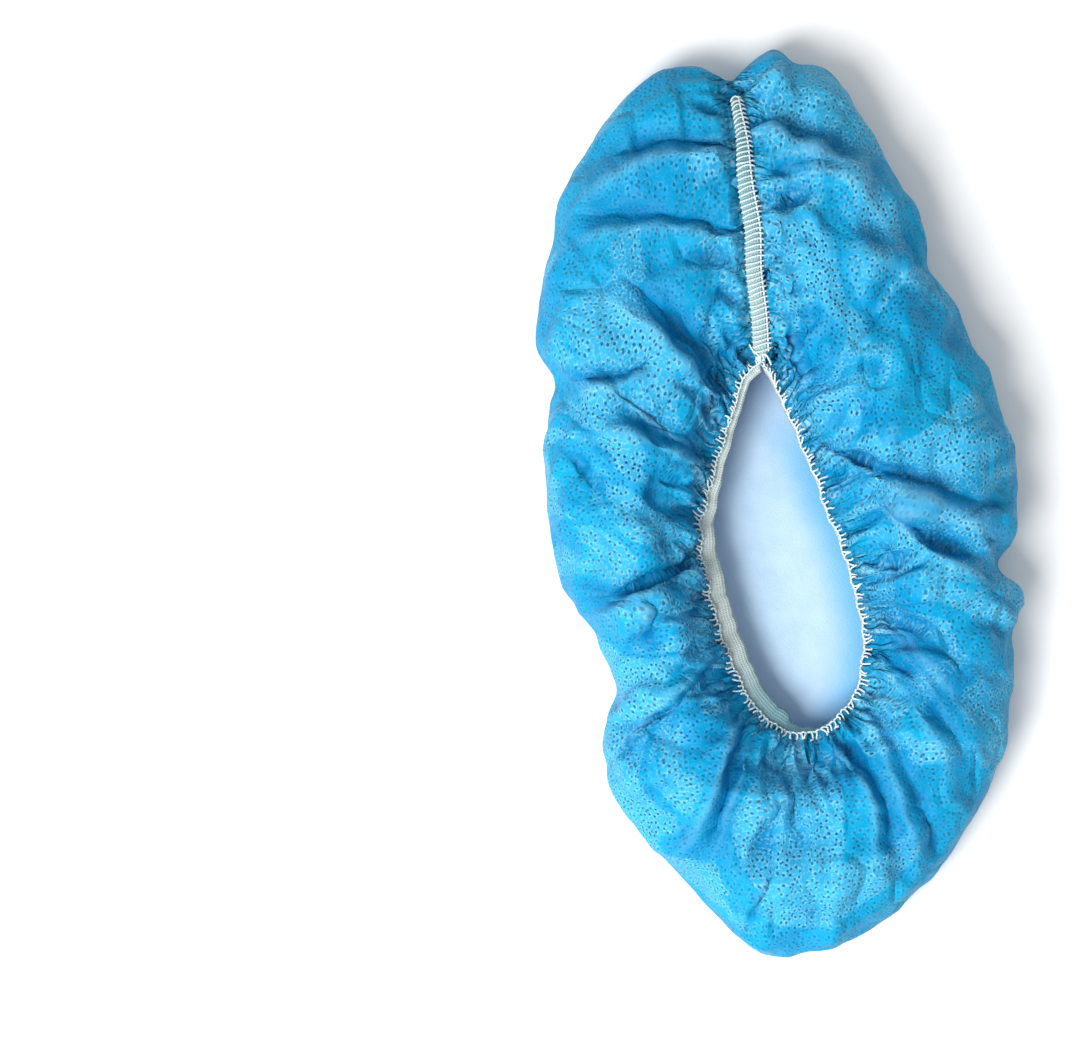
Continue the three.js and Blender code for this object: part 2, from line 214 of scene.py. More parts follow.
for k in range(GATHERS_AT_EDGE):
    place = np.array([(k + chance.uniform(-0.3, 0.3)) * len(SECTIONS) / GATHERS_AT_EDGE])
    start = [closed_spline([row[i] for row in SECTIONS], place)[0] for i in (1, 2)]
    FOLDS.append(short_fold(start, (-start[0], -0.75 * start[1]), *EDGE_GATHER))


def fold_relief(fold, x, y):
    # how far the fold lifts the cloth there, how much of its steep wall and of the crest line
    # above the wall is there, and how far and which way it draws the cloth together
    a, strength, side_x, side_y = across_fold(fold, x, y)
    if side_x * LEAN[0] + side_y * LEAN[1] < 0:
        a, side_x, side_y = -a, -side_x, -side_y
    if fold[6] > 0:
        line = strength * np.exp(-((a / 0.15) ** 2))
        return fold[6] * strength * np.exp(-1.2 * np.abs(a)), 0 * a, line, 0 * a, (side_x, side_y)
    steep = np.where(a < STEEP, 1 - 1.25 * a / STEEP, -0.25 * np.exp((STEEP - a) / 0.6))
    depth = fold[6] * strength * np.where(a > 0, steep, np.exp(-1.1 * np.abs(a)))
    strength = min(1, -fold[6] / 4) * strength
    wall = strength * smooth(-1.1, -0.2, a) * (1 - smooth(STEEP - 0.2, STEEP + 0.1, a))
    line = strength * np.exp(-(((a - STEEP) / 0.15) ** 2))
    draw = -PINCH * fold[5] * a * np.exp(-a * a) * strength
    return depth, wall, line, draw, (side_x, side_y)


def bag_form(columns, top_rows, under_rows):
    # the form that the cloth is drawn towards: columns run round the bag, and rows run from the
    # opening over the top to the widest edge and then under it to the sole's seam
    place = np.arange(columns) / columns * len(SECTIONS)
    edge = spline(OPENING, 1500)
    run = run_along(edge)
    share = closed_spline([s[0] for s in SECTIONS], place, 1.0) % 1
    start = points_at(share * run[-1], run, edge)
    wide_x, wide_y, crown = (closed_spline([s[i] for s in SECTIONS], place) for i in (1, 2, 3))
    out_x, out_y = wide_x - start[:, 0], wide_y - start[:, 1]
    reach = np.hypot(out_x, out_y)
    out_x, out_y = (out_x / reach)[:, None], (out_y / reach)[:, None]
    push = np.zeros_like(reach)
    for fold in FOLDS:
        a, strength, _, _ = across_fold(fold, wide_x, wide_y)
        push += fold[7] * strength * np.exp(-a * a)
    low, high = start[:, 2:3], crown[:, None]

    def height(t):
        climb = low + (high - low) * np.sin(np.pi / 2 * np.clip(t / RISE_SHARE, 0, 1))
        fall = np.clip((t - FALL_START) / (1 - FALL_START), 0, 1)
        drop = EDGE_HEIGHT + (high - EDGE_HEIGHT) * np.sqrt(np.maximum(0, 1 - fall**FALL_POWER))
        return np.minimum(climb, drop)

    # rows are spaced evenly over the cloth, not over the floor
    t = np.linspace(0, 1, 400)[None, :].repeat(columns, 0)
    steps = np.hypot(np.diff((reach + push)[:, None] * t), np.diff(height(t)))
    over = np.concatenate([np.zeros((columns, 1)), np.cumsum(steps, 1)], 1)
    width = over[:, -1:]
    rows = np.linspace(0, 1, top_rows + 1)
    t = np.stack([np.interp(rows * over[i, -1], over[i], t[i]) for i in range(columns)])
    out = (reach + push)[:, None] * t
    x, y, z = start[:, 0:1] + out_x * out, start[:, 1:2] + out_y * out, height(t)

    held = smooth(0, 0.08, t) * (1 - 0.8 * smooth(0.8, 1, t))
    sink, slide_x, slide_y, wall, line = (np.zeros_like(z) for _ in range(5))
    for fold in FOLDS:
        depth, wall_here, line_here, draw, side = fold_relief(fold, x, y)
        sink += depth * held
        wall += wall_here * held
        line += line_here * held
        slide_x += draw * held * side[0]
        slide_y += draw * held * side[1]
    top = np.stack([x + slide_x, y + slide_y, z + sink], 2)

    w = (np.arange(1, under_rows + 1) / under_rows)[None, :]
    curl = np.minimum(1, w / CURL_SHARE) * np.pi / 2
    flat = np.maximum(0, w - CURL_SHARE) / (1 - CURL_SHARE)
    back = TUCK * (1 - np.cos(curl)) + (HEM_INSET - TUCK) * flat
    out = reach[:, None] + push[:, None] * (1 - w) - back
    under_z = EDGE_HEIGHT * (1 - np.sin(curl)) + 0 * out
    under = np.stack([start[:, 0:1] + out_x * out, start[:, 1:2] + out_y * out, under_z], 2)

    # where each point lies on the flat panel, for the embossed pattern
    laid = np.concatenate([rows[None, :] * width, width + UNDER_WIDTH * w], 1)
    panel = np.stack([start[:, 0:1] + out_x * laid, start[:, 1:2] + out_y * laid], 2)
    marks = [np.concatenate([m, 0 * under_z], 1) for m in (np.clip(wall, 0, 1), np.clip(line, 0, 1))]
    return np.concatenate([top, under], 1), laid, width, panel, marks


def blur(field, rounds):
    for _ in range(rounds):
        field = 0.5 * field + 0.25 * (np.roll(field, 1, 0) + np.roll(field, -1, 0))
        ends = np.concatenate([field[:, :1], field, field[:, -1:]], 1)
        field = 0.5 * field + 0.25 * (ends[:, :-2] + ends[:, 2:])
    return field


def neighbours(field, round_step, row_step):
    # each point's partner that many columns round and rows along, and the slices that match
    other = np.roll(field, -round_step, 0)
    if row_step > 0:
        return field[:, :-row_step], other[:, row_step:]
    if row_step < 0:
        return field[:, -row_step:], other[:, :row_step]
    return field, other


def length_between(points, round_step, row_step):
    a, b = neighbours(points, round_step, row_step)
    return np.linalg.norm(b - a, axis=2)


def add_pull(points, moves, round_step, row_step, rest, stiffness, only_shorter=False):
    # each thread between two points pushes them apart or draws them together to its rest length
    a, b = neighbours(points, round_step, row_step)
    apart = b - a
    length = np.linalg.norm(apart, axis=2)
    error = (length - rest) / np.maximum(length, 1e-6)
    if only_shorter:
        error = np.minimum(error, 0)
    pull = 0.5 * stiffness * error[..., None] * apart
    rows = points.shape[1]
    first = slice(max(0, -row_step), rows - max(0, row_step))
    second = slice(max(0, row_step), rows - max(0, -row_step))
    moves[:, first] += pull
    moves[:, second] -= np.roll(pull, round_step, 0)


def unit(vectors):
    return vectors / np.maximum(np.linalg.norm(vectors, axis=-1, keepdims=True), 1e-9)


def surface_normals(points):
    round_way = np.roll(points, -1, 0) - np.roll(points, 1, 0)
    row_way = np.empty_like(points)
    row_way[:, 1:-1] = points[:, 2:] - points[:, :-2]
    row_way[:, 0] = points[:, 1] - points[:, 0]
    row_way[:, -1] = points[:, -1] - points[:, -2]
    return unit(np.cross(row_way, round_way))


def twice_as_fine(points):
    p = np.stack([points, 0.5 * (points + np.roll(points, -1, 0))], 1).reshape(-1, *points.shape[1:])
    fine = np.empty((p.shape[0], 2 * p.shape[1] - 1, 3))
    fine[:, ::2] = p
    fine[:, 1::2] = 0.5 * (p[:, 1:] + p[:, :-1])
    return blur(fine, 1)


# The cloth has spare length round the opening, where the elastic gathers it, and along the
# instep seam. It is settled in three passes, from broad puffs to small gathers: each pass is
# twice as fine, and shares out the spare length that is still to fold.
PASSES = [
    # gathers as (share, reach in mm) pairs beside the opening and beside the seam
    {"unevenness": 1.5, "round": [(0.10, 12), (0.16, 40)], "along": [(0.14, 30)],
     "rounds": 150, "hold": 0.05, "spread": 2, "bend": (0.93, 0.6)},
    {"unevenness": 0.35, "round": [(0.22, 9)], "along": [(0.18, 12)],
     "rounds": 120, "hold": 0.05, "spread": 4, "bend": (0.90, 0.6)},
    {"unevenness": 0.12, "round": [(0.30, 4)], "along": [(0.22, 5)],
     "rounds": 120, "hold": 0.05, "spread": 6, "bend": (0.85, 0.5)},
]
COLUMNS, TOP_ROWS, UNDER_ROWS = 120, 21, 4  # of the first pass
STRAIGHT_PULL, SLANT_PULL = 0.9, 0.35  # how stiffly threads along the grid and across it pull
EASE = 0.55  # how much of all the pulls a round takes, so that they come to rest


def settle(points, goal, spare_round, spare_along, settings, near_edges):
    mean = lambda a, steps: 0.5 * sum(neighbours(a, *steps))
    round_rest = length_between(goal, 1, 0) * (1 + mean(spare_round, (1, 0)))
    along_rest = length_between(goal, 0, 1) * (1 + mean(spare_along, (0, 1)))
    sides = [mean(length_between(goal, 1, 0), (0, 1)), mean(length_between(goal, 0, 1), (1, 0))]
    grown = [sides[0] * (1 + mean(spare_round, (0, 1))), sides[1] * (1 + mean(spare_along, (0, 1)))]
    growth = np.hypot(*grown) / np.hypot(*sides)
    down_rest = length_between(goal, 1, 1) * growth
    up_rest = length_between(goal, 1, -1) * growth
    # the cloth resists sharp bends: points two steps apart are pushed off when closer than this
    share, stiffness = settings["bend"]
    two_round = length_between(goal, 2, 0) * (1 + 0.8 * spare_round)
    two_round = share * np.minimum(sum(neighbours(round_rest, 1, 0)), two_round)
    two_along = length_between(goal, 0, 2) * (1 + 0.8 * spare_along[:, 1:-1])
    two_along = share * np.minimum(along_rest[:, 1:] + along_rest[:, :-1], two_along)
    for _ in range(settings["rounds"]):
        moves = np.zeros_like(points)
        add_pull(points, moves, 1, 0, round_rest, STRAIGHT_PULL)
        add_pull(points, moves, 0, 1, along_rest, STRAIGHT_PULL)
        add_pull(points, moves, 1, 1, down_rest, SLANT_PULL)
        add_pull(points, moves, 1, -1, up_rest, SLANT_PULL)
        add_pull(points, moves, 2, 0, two_round, stiffness, only_shorter=True)
        add_pull(points, moves, 0, 2, two_along, stiffness, only_shorter=True)
        points = points + EASE * moves
        points = points + settings["hold"] * blur(goal - points, settings["spread"])
        points = points + near_edges[..., None] * (goal - points)
        points[..., 2] = np.maximum(points[..., 2], 0)
    return points


cloth = None
for number, settings in enumerate(PASSES):
    finer = 2**number
    form, laid, width, panel, marks = bag_form(COLUMNS * finer, TOP_ROWS * finer, UNDER_ROWS * finer)
    step = length_between(form, 1, 0)
    run = np.cumsum(step, 0) - step
    beside_seam = np.minimum(run, run[-1] + step[-1] - run)
    on_top = 1 - smooth(0.78, 1.0, laid / width)
    spare_round = sum(s * np.exp(-laid / r) for s, r in settings["round"]) * on_top
    spare_along = sum(s * np.exp(-beside_seam / r) for s, r in settings["along"])
    spare_along = spare_along * on_top * smooth(0, 6, laid)
    # a finer pass adds the sharpness that its folds couldn't have before
    goal = form if cloth is None else twice_as_fine(cloth) + form - twice_as_fine(coarse_form)
    coarse_form = form
    uneven = blur(chance.normal(size=form.shape[:2])[..., None], 2)
    uneven = uneven / uneven.std() * settings["unevenness"]
    uneven = uneven * np.clip((spare_round + spare_along) / 0.15, 0.15, 1)[..., None]
    near_edges = 0.25 * np.exp(-laid / 1.2) + 0.5 * smooth(width + 2, width + 12, laid)
    start = goal + surface_normals(goal) * uneven
    cloth = settle(start, goal, spare_round, spare_along, settings, near_edges)

# Paper-like creases: nearly straight ones in a few directions, each only in patches of the cloth,
# that leave flat facets between them. The gathers are pressed in with them.
SHARPEN = 0.35  # how much of the relief finer than a puff is added again
CREASE_SETS = [
    # apart, depth, how many directions
    (30.0, 3.0, 4), (16.0, 1.6, 5), (8.0, 0.35, 6),
]
crumple = np.zeros_like(laid)
for apart, depth, count in CREASE_SETS:
    for _ in range(count):
        way, patch_way = chance.uniform(0, math.pi, 2)
        begin, patch_begin, bow = chance.uniform(0, 2 * math.pi, 3)
        along = panel[..., 0] * math.cos(way) + panel[..., 1] * math.sin(way)
        cross = panel[..., 1] * math.cos(way) - panel[..., 0] * math.sin(way)
        bowed = along + 0.18 * apart * np.sin(cross / apart + bow)
        ridges = 2 * np.abs((bowed / apart + begin) % 1 - 0.5) - 0.5
        one_way = panel[..., 0] * math.cos(patch_way) / (1.3 * apart) + patch_begin
        other_way = panel[..., 1] * math.sin(patch_way + 1) / (1.7 * apart) + bow + cross / (4 * apart)
        crumple += depth * ridges * smooth(0.1, 1.1, np.sin(one_way) + np.sin(other_way))
cloth += SHARPEN * (cloth - blur(cloth, 6)) * smooth(4, 14, laid)[..., None]
crumple *= smooth(1, 10, laid)
wall, line = marks
for fold in GATHERS:
    depth, wall_here, line_here, _, _ = fold_relief(fold, cloth[..., 0], cloth[..., 1])
    crumple += depth * smooth(0.3, 3, laid)
    wall = np.maximum(wall, wall_here)
    line = np.maximum(line, line_here)
crumple *= (1 - 0.65 * smooth(0.75 * width, width, laid)) * (1 - smooth(width + 6, width + 14, laid))
cloth += surface_normals(cloth) * crumple[..., None]
cloth[..., 2] = np.maximum(cloth[..., 2], 0)

# the settled cloth takes exactly the outline that its CAD body has
low, high = (np.array(corner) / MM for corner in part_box("upper"))
for axis in (0, 1):
    found_low, found_high = cloth[..., axis].min(), cloth[..., axis].max()
    share = (cloth[..., axis] - found_low) / (found_high - found_low)
    cloth[..., axis] = low[axis] + share * (high[axis] - low[axis])

# under its tape the instep seam lies flat in a bed, and the cloth rises from the tape's edges
BED_HALF_WIDTH = 3.0
BED_SLOPE = 1.2
BED_REACH, BED_ENDS = 9, 2  # how far beside the seam it acts, and how far short of its ends
BED_SMOOTHING = 60
seam_bed = cloth[0].copy()
for _ in range(BED_SMOOTHING):
    seam_bed[1:-1] = 0.5 * seam_bed[1:-1] + 0.25 * (seam_bed[2:] + seam_bed[:-2])
seam_top = seam_bed[: TOP_ROWS * 4 + 1]
bed_x, bed_z = (np.interp(cloth[..., 1], seam_top[:, 1], seam_top[:, i]) for i in (0, 2))
beside = np.abs(cloth[..., 0] - bed_x)
in_bed = (cloth[..., 1] > seam_top[0, 1] + BED_ENDS) & (cloth[..., 1] < seam_top[-1, 1] - BED_ENDS)
limit = bed_z - 0.3 + BED_SLOPE * np.maximum(0, beside - BED_HALF_WIDTH)
in_bed = in_bed & (beside < BED_REACH) & (cloth[..., 2] > EDGE_HEIGHT)
cloth[..., 2] = np.where(in_bed, np.minimum(cloth[..., 2], limit), cloth[..., 2])
normals = surface_normals(cloth)
ROUNDS, ROWS = cloth.shape[:2]

# how sharply the cloth bends, in 1/mm: up on a crest and down in a valley
towards = blur(cloth, 3) - cloth
bending = blur((towards * normals).sum(2)[..., None], 1)[..., 0]
on_top = 1 - smooth(width - 2, width + 3, laid)
# crest is partly the white of film stressed on sharp crests, and partly a painted highlight along the
# crest above each shaded wall
crest = np.clip(smooth(0.6, 1.2, -bending) * 0.3 + 0.5 * line, 0, 1) * on_top
# valley is painted shade: in the valleys, and in the steep walls of the folds that face away from the
# lamp
valley = np.clip(smooth(0.2, 0.5, bending) * 0.4 + 0.8 * wall, 0, 1) * on_top
valley *= 0.4 + 0.6 * smooth(2, 16, laid)


def grid_faces(rounds, rows, offset=0, flip=False):
    # quads of a grid that closes on itself in its rounds
    index = offset + np.arange(rounds * rows).reshape(rounds, rows)
    beside = np.roll(index, -1, 0)
    quads = np.stack([index[:, :-1], beside[:, :-1], beside[:, 1:], index[:, 1:]], 2).reshape(-1, 4)
    return quads if flip else quads[:, ::-1]


def add_mesh(name, points, faces, material, panel=None, shades=None):
    # points are in millimetres, and faces are plain lists of their numbers; panel is each point's
    # place on the flat material, and shades are named numbers that its material reads there
    mesh = bpy.data.meshes.new(name)
    mesh.from_pydata((points * MM).tolist(), [], faces)
    mesh.materials.append(material)
    mesh.polygons.foreach_set("use_smooth", np.ones(len(mesh.polygons), bool))
    if panel is not None:
        corners = np.empty(len(mesh.loops), np.int32)
        mesh.loops.foreach_get("vertex_index", corners)
        layer = mesh.uv_layers.new(name="panel")
        layer.data.foreach_set("uv", panel[corners].astype(np.float32).ravel())
    for shade, values in (shades or {}).items():
        attribute = mesh.attributes.new(shade, "FLOAT", "POINT")
        attribute.data.foreach_set("value", values.astype(np.float32).ravel())
    mesh.update()
    piece = bpy.data.objects.new(name, mesh)
    bpy.context.scene.collection.objects.link(piece)
    return piece


def srgb(text):
    # a hex colour as linear values, with alpha
    values = [int(text[i:i + 2], 16) / 255 for i in (1, 3, 5)]
    return tuple(v / 12.92 if v <= 0.04045 else ((v + 0.055) / 1.055) ** 2.4 for v in values) + (1,)


def add_node(tree, kind, inputs=None, **settings):
    # a shader node with its settings; each input is a value, or the node or output that feeds it
    node = tree.nodes.new("ShaderNode" + kind)
    for name, value in settings.items():
        setattr(node, name, value)
    for socket, value in (inputs or {}).items():
        if isinstance(value, bpy.types.Node):
            value = value.outputs[0]
        if isinstance(value, bpy.types.NodeSocket):
            tree.links.new(value, node.inputs[socket])
        else:
            node.inputs[socket].default_value = value
    return node


def new_material(name):
    material = bpy.data.materials.new(name)
    material.use_nodes = True
    tree = material.node_tree
    tree.nodes.clear()
    return material, tree


# Spunbond polypropylene, calendered: its filaments are melted together at pins that stand in
# small rings. That gives flat matt cloth with rings of dark sunk dots, with painted glints of
# loose filaments between them, and white lines where a crease has stressed the film, which are
# also a painted highlight along crests. Also painted on it: a sheen on flat facets, a highlight
# on a collar round each pin, and shade in folds, in pleat valleys and beside the opening's edge.
FABRIC_BLUE = "#00A3D8"
FABRIC_LIGHT = "#00B2E0"
FABRIC_FOLD_SHADE = "#0087BF"  # painted shade, in the valleys and the steep walls of folds
FABRIC_PAINTED_SHEEN = "#44C0EA"  # painted sheen, on facets that lie flat and catch the light
FABRIC_PAINTED_GLINT = "#88E0F8"  # painted glints of loose filaments, and a painted highlight on the collar round each pin
# painted shade in the valleys of the fine pleats
FABRIC_PLEAT_SHADE = "#0089BE"
PIN_BLUE = "#004E72"
# white of stressed film, and also a painted highlight on crests and pleats
STRESS_WHITE_AND_HIGHLIGHT = "#B4ECFB"
# painted shade beside the opening's edge, under the overlock
SHADE_UNDER_STITCHES = "#0076A6"
THROUGH_CYAN = "#20C4F0"  # the light that comes through the cloth
THROUGH_SHARE = 0.32
# millimetres on the flat cloth; the real filaments are far finer, and are drawn as coarse as
# they need to show
RING_PITCH, RING_RADIUS, PINS_IN_RING = 5.9, 2.0, 6
PIN_RADIUS, PIN_DEPTH = 0.42, 0.12
FILAMENT_SIZE, FILAMENT_DEPTH = 1.1, 0.25
PATCH_SIZE = 28.0
FACET_APART, FACET_LONG = 15.0, 38.0
PLEAT_APART, PLEAT_LONG, PLEAT_DEPTH = 4.2, 34.0, 1.9
CREASE_APART, CREASE_DEPTH = 17.0, 1.1
CRUMPLE_SIZE, CRUMPLE_DEPTH = 9.0, 1.2

nonwoven, tree = new_material("blue_polypropylene_nonwoven")
place = add_node(tree, "UVMap", uv_map="panel")
round_here, out_here, beside_here, crest_white_and_highlight, fold_shade_here = (
    add_node(tree, "Attribute", attribute_name=name).outputs["Fac"]
    for name in ("round_rim", "from_rim", "from_seam", "crest", "valley")
)

# rings of pins: how far each point is from the nearest pin of the nearest ring
in_rings = add_node(tree, "VectorMath", {0: place, "Scale": 1 / RING_PITCH}, operation="SCALE")
ring = add_node(tree, "TexVoronoi", {"Vector": in_rings, "Scale": 1.0, "Randomness": 0.5},
                voronoi_dimensions="2D")
from_centre = add_node(tree, "VectorMath", {0: in_rings, 1: ring.outputs["Position"]},
                       operation="SUBTRACT")
from_centre = add_node(tree, "VectorMath", {0: from_centre, "Scale": RING_PITCH}, operation="SCALE")
radius = add_node(tree, "VectorMath", {0: from_centre}, operation="LENGTH").outputs["Value"]
parts = add_node(tree, "SeparateXYZ", {0: from_centre})
angle = add_node(tree, "Math", {0: parts.outputs[1], 1: parts.outputs[0]}, operation="ARCTAN2")
turned = add_node(tree, "Math", {0: ring.outputs["Color"], 1: 6.0, 2: angle}, operation="MULTIPLY_ADD")
to_pin = add_node(tree, "Math", {0: turned, 1: math.pi / PINS_IN_RING}, operation="PINGPONG")
round_ring = add_node(tree, "Math", {0: to_pin, 1: RING_RADIUS}, operation="MULTIPLY")
across_ring = add_node(tree, "Math", {0: radius, 1: RING_RADIUS}, operation="SUBTRACT")
offset = add_node(tree, "CombineXYZ", {0: round_ring, 1: across_ring})
distance = add_node(tree, "VectorMath", {0: offset}, operation="LENGTH").outputs["Value"]
# pin is the sunk dot, and collar the ring round it that takes a painted highlight
pin, collar = (
    add_node(tree, "MapRange", {0: distance, 1: PIN_RADIUS * far, 2: PIN_RADIUS * near, 3: 0.0,
             4: 1.0}, interpolation_type="SMOOTHSTEP")
    for far, near in ((1.7, 0.7), (2.7, 2.0))
)

# loose filaments, broad patches of a lighter blue, and facets that fan out from the opening and take a
# painted sheen
filaments = add_node(tree, "TexNoise", {"Vector": place, "Scale": 1 / FILAMENT_SIZE,
                     "Detail": 3.0, "Roughness": 0.65}, noise_dimensions="2D")
patches = add_node(tree, "TexNoise", {"Vector": place, "Scale": 1 / PATCH_SIZE, "Detail": 2.0},
                   noise_dimensions="2D")
wedge = add_node(tree, "CombineXYZ", {
    0: add_node(tree, "Math", {0: round_here, 1: FACET_APART}, operation="DIVIDE"),
    1: add_node(tree, "Math", {0: out_here, 1: FACET_LONG}, operation="DIVIDE"),
})
facets = add_node(tree, "TexNoise", {"Vector": wedge, "Scale": 1.0, "Detail": 3.0,
                  "Roughness": 0.5, "Distortion": 0.8}, noise_dimensions="2D")
glitter, glitter_wide, patchy, pressed, painted_sheen, open_here, shade_under_stitches = (
    add_node(tree, "MapRange", {0: value, 1: low, 2: high, 3: at_low, 4: at_high})
    for value, low, high, at_low, at_high in (
        (filaments, 0.52, 0.62, 0.0, 1.0),
        (filaments, 0.42, 0.60, 0.0, 1.0),
        (patches, 0.35, 0.65, 0.0, 1.0),
        (patches, 0.3, 0.6, 1.0, 0.7),
        (facets, 0.48, 0.54, 0.0, 1.0),
        # less glitter, fewer collars and fewer dots where fold shade is painted
        (fold_shade_here, 0.0, 1.0, 1.0, 0.3),
        # painted shade within a few millimetres of the opening's edge, under the overlock
        (out_here, 1.0, 4.0, 0.5, 0.0),
    )
)
# on the painted sheen the dots show darker, and the painted glints and collars brighter
dots_on_sheen = add_node(tree, "MapRange", {0: painted_sheen, 3: 0.7, 4: 1.0})
collars_on_sheen = add_node(tree, "MapRange", {0: painted_sheen, 3: 0.16, 4: 0.85})

# fine pleats fan out from the elastic, and others run out from the instep seam
RIM_FAN, SEAM_FAN = 26.0, 16.0  # how far they reach
fans = []
for across_way, along_way, fade in [(round_here, out_here, RIM_FAN), (out_here, beside_here, SEAM_FAN)]:
    fan = add_node(tree, "CombineXYZ", {
        0: add_node(tree, "Math", {0: across_way, 1: PLEAT_APART}, operation="DIVIDE"),
        1: add_node(tree, "Math", {0: along_way, 1: PLEAT_LONG}, operation="DIVIDE"),
    })
    rumple = add_node(tree, "TexNoise", {"Vector": fan, "Scale": 1.0, "Detail": 2.0,
                      "Distortion": 0.3}, noise_dimensions="2D")
    sharp = add_node(tree, "Math", {0: rumple, 1: 0.5}, operation="SUBTRACT")
    sharp = add_node(tree, "Math", {0: sharp}, operation="ABSOLUTE")
    sharp = add_node(tree, "MapRange", {0: sharp, 1: 0.0, 2: 0.18, 3: 0.0, 4: 1.0})
    near = add_node(tree, "MapRange", {0: along_way, 1: 0.0, 2: fade, 3: 1.0, 4: 0.0},
                    interpolation_type="SMOOTHERSTEP")
    # painted shade in the pleats' valleys, and painted glints on their crests
    pleat_shade = add_node(tree, "MapRange", {0: sharp, 1: 0.0, 2: 0.35, 3: 0.45, 4: 0.0})
    pleat_glint = add_node(tree, "MapRange", {0: sharp, 1: 0.55, 2: 0.9, 3: 0.0, 4: 1.0})
    pleat_glint = add_node(tree, "Math", {0: pleat_glint, 1: glitter_wide}, operation="MULTIPLY")
    fans.append([
        add_node(tree, "Math", {0: kind, 1: near}, operation="MULTIPLY")
        for kind in (sharp, pleat_shade, pleat_glint)
    ])
pleats, grooves, pleat_glints = (
    add_node(tree, "Math", {0: at_rim, 1: at_seam}, operation=joined)
    for at_rim, at_seam, joined in zip(*fans, ("ADD", "MAXIMUM", "MAXIMUM"))
)

# what lies over the plain blue, from the bottom up: its share is the product of a few shares
LAYERS = [
    ([patchy], FABRIC_LIGHT),
    # painted sheen on flat facets
    ([painted_sheen, open_here, 0.7], FABRIC_PAINTED_SHEEN),
    # painted shade in the valleys and steep walls of folds
    ([fold_shade_here], FABRIC_FOLD_SHADE),
    # painted glints of loose filaments
    ([glitter, open_here, collars_on_sheen, 0.55], FABRIC_PAINTED_GLINT),
    # painted highlight on the collar round each pin
    ([collar, open_here, glitter_wide, collars_on_sheen], FABRIC_PAINTED_GLINT),
    ([pin, open_here, pressed, dots_on_sheen], PIN_BLUE),
    # painted shade in the valleys of the fine pleats
    ([grooves], FABRIC_PLEAT_SHADE),
    # painted glints on the crests of the fine pleats
    ([pleat_glints, 0.75], STRESS_WHITE_AND_HIGHLIGHT),
    # painted shade under the overlock
    ([shade_under_stitches], SHADE_UNDER_STITCHES),
    # stress whitening and painted highlight along crests
    ([crest_white_and_highlight, 0.35], STRESS_WHITE_AND_HIGHLIGHT),
]
colour = srgb(FABRIC_BLUE)
for (share, *others), over in LAYERS:
    for other in others:
        share = add_node(tree, "Math", {0: share, 1: other}, operation="MULTIPLY")
    colour = add_node(tree, "Mix", {0: share, 6: colour, 7: srgb(over)}, data_type="RGBA").outputs[2]

# the relief, from the broadest to the finest
crumple = add_node(tree, "TexVoronoi", {"Vector": place, "Scale": 1 / CRUMPLE_SIZE,
                   "Randomness": 1.0}, voronoi_dimensions="2D", feature="SMOOTH_F1").outputs["Distance"]
creased = add_node(tree, "TexVoronoi", {"Vector": place, "Scale": 1 / CREASE_APART,
                   "Randomness": 1.0}, voronoi_dimensions="2D", feature="DISTANCE_TO_EDGE")
creased = add_node(tree, "MapRange", {0: creased.outputs["Distance"], 1: 0.0, 2: 0.16, 3: 0.0, 4: 1.0})
creased = add_node(tree, "Math", {0: creased, 1: patchy}, operation="MULTIPLY")
relief = add_node(tree, "Bump", {"Height": pleats, "Strength": 1.0, "Distance": PLEAT_DEPTH * MM})
for height, strength, depth in [
    (creased, 1.0, CREASE_DEPTH), (crumple, 0.6, CRUMPLE_DEPTH), (filaments, 0.8, FILAMENT_DEPTH),
]:
    relief = add_node(tree, "Bump", {"Height": height, "Strength": strength,
                      "Distance": depth * MM, "Normal": relief})
sunk = add_node(tree, "Bump", {"Height": pin, "Strength": 1.0, "Distance": PIN_DEPTH * MM,
                "Normal": relief}, invert=True)
gloss = add_node(tree, "MapRange", {0: filaments, 1: 0.3, 2: 0.7, 3: 0.46, 4: 0.34})
surface = add_node(tree, "BsdfPrincipled", {"Base Color": colour, "Roughness": gloss,
                   "Normal": sunk, "IOR": 1.49, "Specular IOR Level": 0.14})
through = add_node(tree, "BsdfTranslucent", {"Color": srgb(THROUGH_CYAN), "Normal": sunk})
both = add_node(tree, "MixShader", {0: THROUGH_SHARE, 1: surface, 2: through})
add_node(tree, "OutputMaterial", {0: both})


def shell(points, normals, thickness):
    # two faces of a sheet that goes round, closed along both of its edges
    rounds, rows = points.shape[:2]
    both_faces = np.concatenate([points.reshape(-1, 3), (points - normals * thickness).reshape(-1, 3)])
    faces = [grid_faces(rounds, rows), grid_faces(rounds, rows, rounds * rows, flip=True)]
    here = np.arange(rounds) * rows
    after = np.roll(here, -1)
    back = rounds * rows
    faces.append(np.stack([here, after, after + back, here + back], 1)[:, ::-1])
    here, after = here + rows - 1, after + rows - 1
    faces.append(np.stack([here, here + back, after + back, after], 1)[:, ::-1])
    return both_faces, np.concatenate(faces).tolist()


points, faces = shell(cloth, normals, CLOTH_THICKNESS)
rim_step = np.linalg.norm(np.roll(cloth[:, 0], -1, 0) - cloth[:, 0], axis=1)
round_rim = np.repeat((np.cumsum(rim_step) - rim_step)[:, None], ROWS, 1)
# the seam's pleats end where the cloth turns down at the toe
from_seam = beside_seam + 40 * smooth(120, 130, laid)
